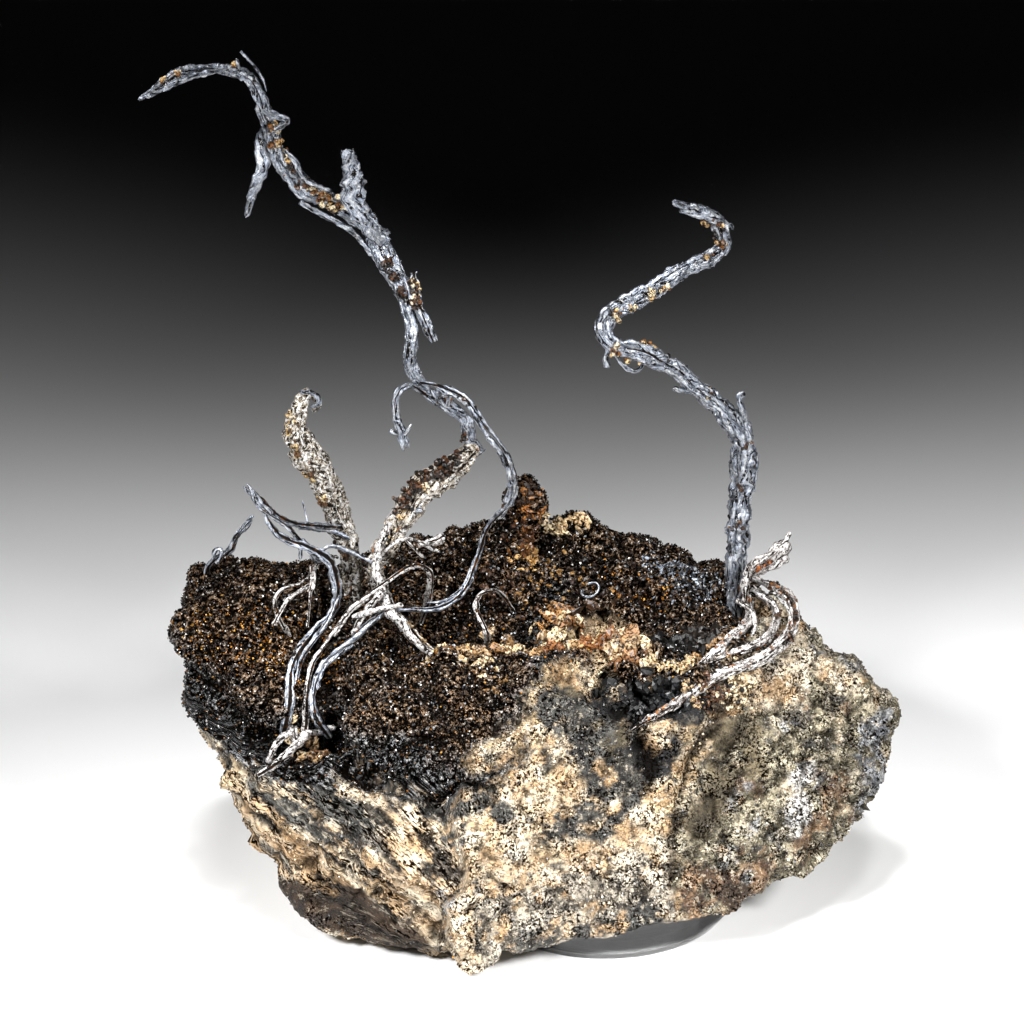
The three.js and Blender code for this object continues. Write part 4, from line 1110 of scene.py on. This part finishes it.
def strand(route, radii, seed, step=0.25, sides=10, ragged=0.5):
    """A thin strand along a few points."""
    route = np.array(route, float)
    smooth = route
    for _ in range(3):  # corner cutting turns the few points into a curve
        quarter = 0.75 * smooth[:-1] + 0.25 * smooth[1:]
        later = 0.25 * smooth[:-1] + 0.75 * smooth[1:]
        smooth = np.vstack([smooth[:1], np.stack([quarter, later], 1).reshape(-1, 3), smooth[-1:]])
    radius = np.interp(np.linspace(0, 1, len(smooth)), np.linspace(0, 1, len(radii)), radii)
    line, radius, along = redrawn(smooth, radius, step)
    look = {"strands": 1, "flat": 0.15, "ragged": ragged, "sides": sides, "twist": 0.3}
    return wire_skin(line, radius, along, look, seed)


# How a wire is drawn: how many strands have grown together in it, how flat and how ragged they are,
# the sides of its skin, how fast they twist, the step between rings, how many fibres peel off it, how
# many separate strands run down its outside, its size beside the CAD wire, the widest that it may be,
# and how much dirt from the rock clings to it.
PLAIN_LOOK = {
    "strands": 2, "flat": 0.12, "ragged": 0.5, "sides": 16, "twist": 0.1, "step": 0.22, "peels": 1,
    "loose": 0, "size": 0.9, "widest": 9, "soil": 0,
}
LOOKS = {
    "tall_wire_stem": {
        "strands": 4, "ragged": 0.9, "sides": 40, "step": 0.2, "peels": 10, "twist": 0.05, "loose": 3,
    },
    "tall_wire_shaft": {
        "strands": 1, "ragged": 0.4, "sides": 36, "step": 0.2, "peels": 6, "flat": 0.2, "loose": 1,
    },
    "tall_wire_crest": {
        "strands": 3, "ragged": 0.6, "sides": 36, "step": 0.2, "peels": 9, "twist": 0.05, "loose": 3,
    },
    "upright_blade": {
        "strands": 1, "flat": 0.5, "ragged": 0.7, "sides": 32, "peels": 2, "widest": 0.78, "size": 1,
    },
    "hanging_spur": {"strands": 1, "flat": 0.35, "ragged": 0.6, "sides": 20, "peels": 1, "size": 1.2},
    "lower_spur": {"strands": 2, "flat": 0.2, "ragged": 1.0, "sides": 24, "step": 0.18, "peels": 2},
    "drop_curl": {"ragged": 0.7, "sides": 20, "twist": 0.03, "peels": 2},
    "right_wire": {
        "strands": 3, "ragged": 0.8, "sides": 40, "step": 0.2, "peels": 20, "twist": 0.05, "loose": 5,
    },
    "thick_stub": {
        "strands": 5, "ragged": 0.5, "sides": 40, "step": 0.2, "peels": 8, "twist": 0.04, "loose": 6,
    },
    "right_curl": {
        "strands": 2, "flat": 0.1, "ragged": 0.8, "sides": 28, "peels": 2, "size": 0.6, "soil": 0.1,
    },
    "root_band_outer": {
        "strands": 2, "ragged": 0.8, "sides": 24, "peels": 5, "size": 0.5, "flat": 0.3, "loose": 8,
        "soil": 0.3,
    },
    "root_band_inner": {
        "strands": 2, "flat": 0.3, "ragged": 0.8, "sides": 24, "peels": 5, "size": 0.45, "loose": 6,
        "soil": 0.25,
    },
    "root_ribbon": {
        "strands": 2, "flat": 0.3, "ragged": 0.8, "sides": 24, "peels": 5, "size": 0.5, "loose": 5,
        "soil": 0.3,
    },
    "left_long_wire": {"flat": 0.25, "sides": 20, "twist": 0.03, "peels": 3},
    "loop_wire": {"flat": 0.15, "sides": 18, "peels": 4},
    "long_arc_wire": {"flat": 0.1, "ragged": 0.45, "peels": 2},
}


def peel(line, radius, along, chance, seed):
    """A thin fibre that lies along a wire and lifts off it at one end."""
    wide, thin = frames_along(line)
    start = chance.uniform(0.03, 0.85) * along[-1]
    length = min(chance.uniform(3, 12), along[-1] - start)
    side = chance.uniform(0, 2 * math.pi)
    lift = chance.uniform(0.0, 0.45)
    route = []
    for share in np.linspace(0, 1, 6):
        i = min(int(np.searchsorted(along, start + share * length)), len(along) - 1)
        angle = side + 0.5 * share + 0.15 * chance.normal()
        off = radius[i] * 0.98 + lift * share**3
        route.append(line[i] + off * (math.cos(angle) * wide[i] + math.sin(angle) * thin[i]))
    thickness = chance.uniform(0.14, 0.3)
    return strand(route, [thickness * 0.6, thickness, thickness, thickness * 0.5], seed, 0.3, 8, 0.7)


LOOSE_OUT = 0.85  # how far out the loose strands lie, as a share of the wire's half thickness


def loose_strand(line, radius, along, chance, seed):
    """A thin strand that runs down most of a wire, on its outside, and wanders over the others."""
    wide, thin = frames_along(line)
    first, last = (chance.uniform([0, 0.7], [0.3, 1]) * (len(line) - 1)).astype(int)
    line, radius, along, wide, thin = (rows[first:last] for rows in (line, radius, along, wide, thin))
    angle = chance.uniform(0, 2 * math.pi) + 0.5 * wave(along, 7, seed)
    off = radius * chance.uniform(0.75, 1.15) * (1 + 0.2 * wave(along, 4, seed + 1))
    side = np.cos(angle)[:, None] * wide + np.sin(angle)[:, None] * thin
    thickness = np.clip(0.34 * radius, 0.2, 0.36) * (1 + 0.3 * wave(along, 3, seed + 2))
    thickness = thickness * np.minimum(1, 0.2 + (along - along[0]) / 1.5)
    look = {"strands": 1, "flat": 0.3, "ragged": 0.8, "sides": 8, "twist": 0.3}
    return wire_skin(line + off[:, None] * side, thickness, along - along[0], look, seed)


def dress_wires():
    """Every CAD wire gets its skin. Returns all their corners, for what sits on them."""
    skins = {}
    for number, node in enumerate(n for n in SLOT_OF if n not in ("matrix_rock", "display_disc")):
        look = {**PLAIN_LOOK, **LOOKS.get(node, {})}
        seed = 100 + 40 * number
        line, radius = middle_line(node)
        line, radius, along = redrawn(line, np.minimum(radius, look["widest"]), look["step"], INTO_ROCK)
        chance = np.random.default_rng(seed)
        drawn_radius = radius * look["size"]
        parts = [wire_skin(line, drawn_radius, along, look, seed)]
        for k in range(look["loose"]):
            parts.append(loose_strand(line, radius * LOOSE_OUT, along, chance, seed + 50 + k))
        for k in range(look["peels"]):
            parts.append(peel(line, drawn_radius, along, chance, seed + 1 + k))
        points, faces, extra = joined(parts)
        # Dirt from the rock spreads the stain, and with it the painted shade of the grooves.
        extra[:, 0] = np.minimum(extra[:, 0] + look["soil"], 1)
        skins[node] = points
        slot = SLOT_OF[node]
        add_skin(node + "_skin", points, faces, extra, SILVERS[slot], slot, [node])
    return skins


def add_skin(name, points, faces, extra, material, slot, replaced=()):
    values = {"groove": extra[:, 0], "lie": extra[:, 1:4]}
    tidy = [face[:3] if face[2] == face[3] else face for face in faces.tolist()]
    add_piece(name, points, tidy, material, slot, replaced, values)


# Loose hairs, nubs and small strands of silver: half thickness at the start and end, and the route.
HAIRS = [
    (
        0.16, 0.12,
        [(-38.8, 9, 97.9), (-38, 9.5, 96.9), (-37.3, 10.5, 95.4), (-36.5, 11.5, 93.5), (-36.3, 12, 92)],
    ),
    (0.2, 0.16, [(-38.9, 8.6, 96), (-39.1, 8, 96.8), (-39.2, 7.6, 97.7)]),
    (
        0.4, 0.35,
        [(-37.3, 12.6, 90.2), (-35.5, 12.4, 89), (-33.7, 12, 88.8), (-35.6, 13, 87.2), (-36.5, 14, 86.1)],
    ),
    (
        0.3, 0.25,
        [(-34.6, 15, 83.9), (-33.5, 14.8, 82.9), (-32.8, 15.5, 80.4), (-31.2, 16.3, 79), (-29.9, 17, 78)],
    ),
    (
        0.3, 0.35, [
            (-33.2, 17.2, 77), (-31.3, 16.8, 75.8), (-28.9, 17, 74.2), (-26.6, 17.6, 71.9),
            (-25.5, 16.8, 70.6),
        ],
    ),
    (0.35, 0.25, [(-46.6, 0.4, 97.5), (-45, 1.4, 97.8), (-42.6, 4.2, 97.4), (-40.3, 7.2, 96.6)]),
    (
        0.26, 0.22, [
            (-33.4, 11.3, 56.6), (-32.3, 10.9, 57.1), (-31.3, 10.9, 56.3), (-31.3, 11.2, 55.2),
            (-32.4, 11.6, 54.7),
        ],
    ),
    (
        0.25, 0.2, [
            (0.8, 8.6, 63.2), (1.4, 8.3, 61.9), (2.4, 8.4, 60.8), (3.4, 8.8, 60.4), (4.1, 9.5, 61.4),
            (3.8, 10, 62.6),
        ],
    ),
    (0.25, 0.3, [(0.3, 8.4, 63.6), (-0.2, 8.2, 62.4), (0.1, 8.2, 61.3)]),
    (0.3, 0.25, [(10.4, 12.4, 57), (9.3, 11.8, 56.6), (8.4, 11.2, 56.9), (7.2, 10.8, 57.5)]),
    (0.25, 0.25, [(-0.9, 8.2, 66.6), (-0.7, 8, 68.2), (0, 8.4, 68.6), (0.5, 9, 67.4)]),
    (
        0.35, 0.3,
        [(15.3, 14, 51.9), (15, 13.2, 53.6), (14.3, 13, 54.9), (14.6, 13.2, 55.9), (15.2, 13.5, 55.2)],
    ),
    (0.22, 0.2, [(12.9, 18, 73.4), (13.4, 17.6, 74.2), (13.6, 17.4, 73.4)]),
    (
        0.15, 0.15, [
            (-2.4, 13.6, 31), (-2.7, 12.9, 30.8), (-2.1, 12.4, 30.5), (-0.9, 12.6, 30.8),
            (-0.4, 13.3, 31.5), (-1, 13.8, 31.9), (-2, 13.8, 31.5),
        ],
    ),
    (
        0.2, 0.2,
        [(-43, 10.6, 35.9), (-42.3, 10.5, 37.2), (-42.6, 10.5, 38), (-43.3, 10.7, 37.3), (-43.4, 11.2, 36)],
    ),
    (0.06, 0.05, [(-32.7, 7.8, 42.4), (-33, 8.6, 43.6), (-33.3, 8.5, 44.9)]),
    (0.25, 0.2, [(-16.9, 9.2, 58.5), (-17.1, 10, 56.7), (-17.3, 11.2, 55)]),
    (0.22, 0.3, [(-22, 10.6, 42), (-20.9, 9.7, 43), (-20.1, 9.2, 43.2)]),
    (
        0.3, 0.26,
        [(-18.4, 9.4, 58.2), (-16.3, 8.1, 58), (-14.9, 7, 57.3), (-14.3, 6.4, 55.9), (-12.8, 6.6, 53.6)],
    ),
    (
        0.26, 0.3,
        [(-12.9, 6.7, 53.7), (-11.5, 7, 51.6), (-10.7, 8, 48.7), (-10.5, 9, 46.2), (-11, 10, 43.8)],
    ),
    (
        0.28, 0.24,
        [(-21.1, 8.5, 58.9), (-22.2, 7.6, 58.8), (-22.9, 7, 57.9), (-22.7, 7, 56), (-22, 7, 54.3)],
    ),
    (0.22, 0.2, [(-23.5, 7, 54.3), (-22.8, 7, 53.9), (-22, 7, 53.4), (-21.5, 7, 52.6)]),
    (0.2, 0.16, [(-22.1, 7, 53.6), (-21.6, 7, 54.2), (-21.2, 7, 55.1)]),
    (0.25, 0.25, [(-37.4, 4, 47.3), (-36, 5, 45), (-34.3, 6, 42.8), (-33.5, 7, 40.1), (-33.6, 7, 38.3)]),
    (0.25, 0.2, [(-33.6, 9, 41.2), (-31.7, 10, 40.4), (-29.7, 11, 39.6), (-28.2, 11, 38.6)]),
    (0.25, 0.2, [(-32, 7, 38.9), (-30.3, 9, 39.1), (-28.2, 9.5, 37.9), (-25.6, 8.5, 37.1)]),
    (0.5, 0.6, [(8.2, 14.6, 77.4), (9.6, 15.2, 76.6), (11.2, 15.8, 75.8), (12.4, 16.4, 74.8)]),
]

# Pale roots, in the same way: of the tall wire, the bent foot at the left, and round the right wire.
ROOTLETS = [
    (
        0.4, 0.6,
        [(-22.9, 10.8, 42.6), (-24.6, 9.8, 39.6), (-25.5, 8.2, 36.5), (-24.8, 7, 34.2), (-23.5, 5, 32.8)],
    ),
    (0.65, 0.22, [(-23.8, 5.2, 33), (-21.5, 2.6, 31.3), (-18.8, 0.6, 29.6)]),
    (0.42, 0.25, [(-24.6, 6, 34.6), (-26.4, 4.6, 33), (-28, 3.4, 31)]),
    (0.28, 0.25, [(-27.9, 4, 32.7), (-26.3, 4, 33.3), (-24.4, 4.8, 33.5), (-22.2, 4.6, 33.9)]),
    (0.35, 0.25, [(-34.4, -3.8, 22.8), (-35.9, -4, 21.9), (-37.1, -4.6, 19.2)]),
    (0.48, 0.3, [(-32.8, -3, 22), (-34.6, -4.4, 20.8), (-37, -5.6, 18.9)]),
    (0.38, 0.25, [(-33, -2.8, 22.2), (-31.5, -2.2, 21.6), (-29.6, -1.6, 22)]),
    (0.4, 1.1, [(16.2, 12, 34.6), (18.2, 12.2, 35.6), (19.8, 12.7, 36.8), (20.4, 12.9, 37.3)]),
    (0.4, 0.7, [(16, 12, 34.2), (17.8, 12, 34.6), (19.2, 12.4, 35.1), (20.2, 13, 35.9)]),
    (
        0.3, 0.3,
        [(16.4, 13.4, 32.6), (18.6, 12.4, 32.2), (20.8, 10.4, 31.4), (21.6, 8.6, 30.2), (20.6, 6.2, 29)],
    ),
    (
        0.3, 0.25,
        [(16.2, 12.4, 31.6), (18.2, 11.2, 31.2), (19.4, 9.2, 30.2), (18.8, 6.6, 29), (16.6, 4.2, 28)],
    ),
    (0.3, 0.25, [(14.6, 11, 31), (16.2, 9.6, 30.6), (16.8, 7.6, 29.8), (15.8, 5, 28.8), (13.4, 2.6, 27.6)]),
    (0.3, 0.25, [(-20.6, 9.5, 38.7), (-19.3, 9.5, 39.1), (-18.6, 9.5, 39.7), (-18, 9.5, 40.3)]),
    (0.25, 0.15, [(-20, 9.5, 38.8), (-19, 9.5, 38.3), (-18.2, 9.6, 37.8)]),
    (0.18, 0.15, [(-22, 9.9, 39.2), (-20.8, 9.8, 37.8), (-20, 9.8, 37)]),
]


def add_strands(name, rows, slot, seed):
    """Every row of a table as a strand, all in one piece."""
    parts = []
    for start, end, route in rows:
        parts.append(strand(route, [start, (start + end) / 2, end], seed, 0.2, 12, 0.6))
        seed += 1
    points, faces, extra = joined(parts)
    add_skin(name, points, faces, extra, SILVERS[slot], slot)


# Crystals that grow on the wires: tones, how many, size, spread, and the points where they gather.
GOLD = ["#d9b27a", "#f5e2bd", "#8a5a28"]
BROWN = ["#170f09", "#38230f", "#5f3b20"]
PALE = ["#ecdcc0", "#d8bc90"]
RUST = ["#8a4a22", "#b06a38", "#3a2012"]
WIRE_CLUSTERS = [
    (GOLD, 22, 0.26, 0.4, [(-46, 0, 98.8), (-44.7, 1.5, 98.8)]),
    (GOLD, 10, 0.26, 0.3, [(-39.2, 8, 97)]),
    (GOLD, 34, 0.45, 0.6, [(-35.6, 13, 87.2), (-35.1, 14, 85), (-34.6, 15, 83.4)]),
    (GOLD, 60, 0.42, 0.7, [(-31.6, 16, 78.8), (-30.3, 16.6, 77.3), (-29.5, 17, 76)]),
    (BROWN, 40, 0.35, 0.9, [(-33.6, 15, 81.5), (-32.4, 16, 79.6), (-29.4, 17, 75.6)]),
    (
        BROWN, 90, 0.36, 0.7,
        [(-24, 14.4, 71.4), (-23.2, 13.6, 70), (-22.2, 12.4, 68.6), (-21.4, 11.8, 67.6)],
    ),
    (PALE + BROWN, 50, 0.34, 0.6, [(-21.4, 12.4, 70.1), (-20.8, 12, 69), (-20.7, 11.4, 67.8)]),
    (BROWN, 240, 0.36, 1.3, [(-17, 10.8, 49.4), (-18.4, 10.5, 48.4), (-19.4, 10.5, 47.6)]),
    (BROWN, 280, 0.36, 1.3, [(-22.6, 9.4, 45.6), (-23.2, 9.4, 44.4), (-21.8, 9.6, 46.6)]),
    (RUST, 30, 0.35, 0.5, [(18.4, 11.6, 35.2), (17.2, 11.6, 34.8)]),
    (PALE, 40, 0.4, 0.8, [(-20, 10, 45.6), (-22, 10, 42.6), (-24, 10, 39.6)]),
    (BROWN, 30, 0.35, 0.5, [(-16.6, 10.4, 56), (-15.6, 8.6, 56.6)]),
    (
        BROWN + GOLD, 50, 0.4, 0.6,
        [(11.8, 16, 74.6), (10.9, 15.6, 75.2), (11.6, 16.6, 71.8), (12.4, 17, 71.6)],
    ),
    (GOLD, 46, 0.36, 0.5, [(6.4, 12.6, 69), (4.9, 11.6, 68.4), (2.5, 10.2, 67.4), (1.1, 9, 67)]),
    (PALE + GOLD, 40, 0.45, 0.5, [(4.1, 8.8, 64.2), (5.2, 9.4, 63.2), (0.8, 7, 63.8), (2.2, 7.4, 63.2)]),
    (PALE + BROWN, 50, 0.38, 0.6, [(9.2, 11.6, 58), (6.2, 9.8, 61.2), (3.4, 8, 63.4), (11, 12, 56)]),
    (
        ["#a98a5c", "#d2b98c", "#6a4a2a"], 90, 0.35, 0.8,
        [(-34.6, 9.6, 53), (-34, 9, 50.4), (-32.6, 10, 47), (-31, 10.6, 44)],
    ),
    (PALE, 20, 0.3, 0.4, [(-34.7, 10, 54.6)]),
    (["#6a4a2a", "#3a2618", "#c9ad86"], 40, 0.35, 0.8, [(-30, 11.6, 40), (-29, 12, 37)]),
    (["#6a4a2a", "#3a2618"], 30, 0.3, 0.6, [(15.4, 13.8, 49), (15, 13.4, 44), (14.6, 13.4, 39)]),
    (["#c9ad86", "#8a6a44"], 40, 0.32, 0.8, [(-20, 4, 29.6), (-22, 7, 30.4)]),
    (BROWN, 60, 0.34, 0.7, [(19, 12.6, 32.2), (20.8, 10.4, 31.4), (21.5, 8.6, 30.2), (20.4, 6, 29)]),
    (BROWN, 46, 0.34, 0.7, [(18.2, 11.2, 31.2), (19.4, 9.2, 30.2), (18.8, 6.6, 29), (16.6, 4.2, 28)]),
    (RUST, 40, 0.3, 0.8, [(16.6, 4.2, 28), (13.4, 2.6, 27.6), (11, 0.4, 26.4)]),
]
BURRS = 2000


def add_wire_crystals(skins):
    """The crystals on the wires, and burrs of the metal itself."""
    everything = np.concatenate(list(skins.values()))
    clouds = []
    for seed, (codes, count, size, spread, spots) in enumerate(WIRE_CLUSTERS, 700):
        chance = np.random.default_rng(seed)
        places = np.array(spots, float)[chance.integers(0, len(spots), count)]
        places = settled(places + chance.normal(0, spread / 2, (count, 3)), everything)
        places = places + chance.normal(0, 0.35 * size, (count, 3))
        sizes = size * chance.uniform(0.35, 1, count)
        clouds.append(lumps(places, sizes, tones_of(codes, [1] * len(codes), count, seed), seed))
    add_piece("wire_crystals", *drawn(joined(clouds), CALCITE, "crusted_silver"))
    # Tiny burrs of metal along the thick wires.
    chance = np.random.default_rng(33)
    burred = [node for node in sorted(THICK) if SLOT_OF[node] == "tarnished_silver"]
    thick = np.concatenate([skins[node] for node in burred])
    places = thick[chance.integers(0, len(thick), BURRS)]
    points, faces, _ = crystals(places, chance.uniform(0.06, 0.18, BURRS), np.zeros((BURRS, 3)), 34)
    values = {"groove": np.zeros(len(points)), "lie": points}
    silver = SILVERS["tarnished_silver"]
    add_piece("silver_burrs", points, faces, silver, "tarnished_silver", (), values, smooth=False)


# ---- the disc ----
DISC_FOOT_HIGH = 1.1  # its lower edge draws in below this height
DISC_FOOT_DEEP = 0.75  # and by this much
DISC_CHAMFER = 0.45  # of its upper edge
DISC_SIDES = 144


def add_disc():
    """The clear disc with its bevelled lower edge and small upper chamfer, all crisp."""
    profile = [
        (DISC_RADIUS - DISC_FOOT_DEEP, 0), (DISC_RADIUS, DISC_FOOT_HIGH),
        (DISC_RADIUS, DISC_TOP - DISC_CHAMFER), (DISC_RADIUS - DISC_CHAMFER, DISC_TOP),
    ]
    angle = np.arange(DISC_SIDES) * 2 * math.pi / DISC_SIDES
    ring = np.stack([np.cos(angle), np.sin(angle)], 1)
    points = np.concatenate([np.column_stack([r * ring, np.full(DISC_SIDES, z)]) for r, z in profile])
    faces = []
    for k in range(len(profile) - 1):
        for i in range(DISC_SIDES):
            j = (i + 1) % DISC_SIDES
            a, b = k * DISC_SIDES, (k + 1) * DISC_SIDES
            faces.append([a + i, a + j, b + j, b + i])
    faces.append(list(range(DISC_SIDES))[::-1])
    faces.append([(len(profile) - 1) * DISC_SIDES + i for i in range(DISC_SIDES)])
    disc = add_piece("clear_disc", points, faces, make_acrylic(), "clear_disc", ["display_disc"])
    disc.visible_shadow = False  # light goes through it to the floor
    for edge in disc.data.edges:
        first, second = edge.vertices
        edge.use_edge_sharp = first // DISC_SIDES == second // DISC_SIDES


rock = dress_rock()
add_rock_grains(*rock)
add_clusters(rock[0])
skins = dress_wires()
add_strands("silver_hairs", HAIRS, "tarnished_silver", 900)
add_strands("silver_rootlets", ROOTLETS, "pale_silver", 950)
add_wire_crystals(skins)
add_disc()

# ---- floor and light ----
floor_material, _, floor_shader = new_material("pale_matt_card", Roughness=0.85)
floor_shader.inputs["Base Color"].default_value = colour("#f4f4f4")
floor_mesh = bpy.data.meshes.new("floor")
WIDE = 3.0  # metres from the middle to each side, so that its edge is out of view
corners = [(-WIDE, -WIDE, 0), (WIDE, -WIDE, 0), (WIDE, WIDE, 0), (-WIDE, WIDE, 0)]
floor_mesh.from_pydata(corners, [], [(0, 1, 2, 3)])
floor_mesh.materials.append(floor_material)
floor = in_scene("floor", floor_mesh)


def add_light(name, place, aim, wide, high, watts, spread):
    """A softbox at `place`, in mm, turned towards `aim`."""
    light = bpy.data.lights.new(name, "AREA")
    light.shape = "RECTANGLE"
    light.size = wide * MM
    light.size_y = high * MM
    light.energy = watts
    light.spread = math.radians(spread)
    holder = in_scene(name, light)
    holder.location = Vector(place) * MM
    holder.rotation_euler = (Vector(aim) - Vector(place)).to_track_quat("-Z", "Y").to_euler()


# Name, place, aim, width and height in mm, watts, and how far its light spreads, in degrees. Two weak
# ones lift the shadows on the floor beside the rock.
LIGHTS = [
    ("overhead_softbox", (-30, -4, 500), (-12, -72, 0), 100, 60, 0.108, 30),
    ("front_left_softbox", (-240, -194, 288), (-14, -43, 30), 90, 90, 0.122, 34),
    ("front_right_softbox", (230, -194, 268), (-6, -43, 30), 90, 90, 0.11, 34),
    ("left_floor_softbox", (-110, -10, 400), (-88, 36, 0), 80, 80, 0.012, 18),
    ("right_floor_softbox", (100, -10, 400), (72, 40, 0), 80, 80, 0.016, 18),
]
for row in LIGHTS:
    add_light(*row)
world = bpy.data.worlds.new("studio")
world.use_nodes = True
# All but black, as the light comes from the softboxes.
world.node_tree.nodes["Background"].inputs["Color"].default_value = colour("#050505")
bpy.context.scene.world = world
bpy.context.scene.view_settings.view_transform = "Standard"
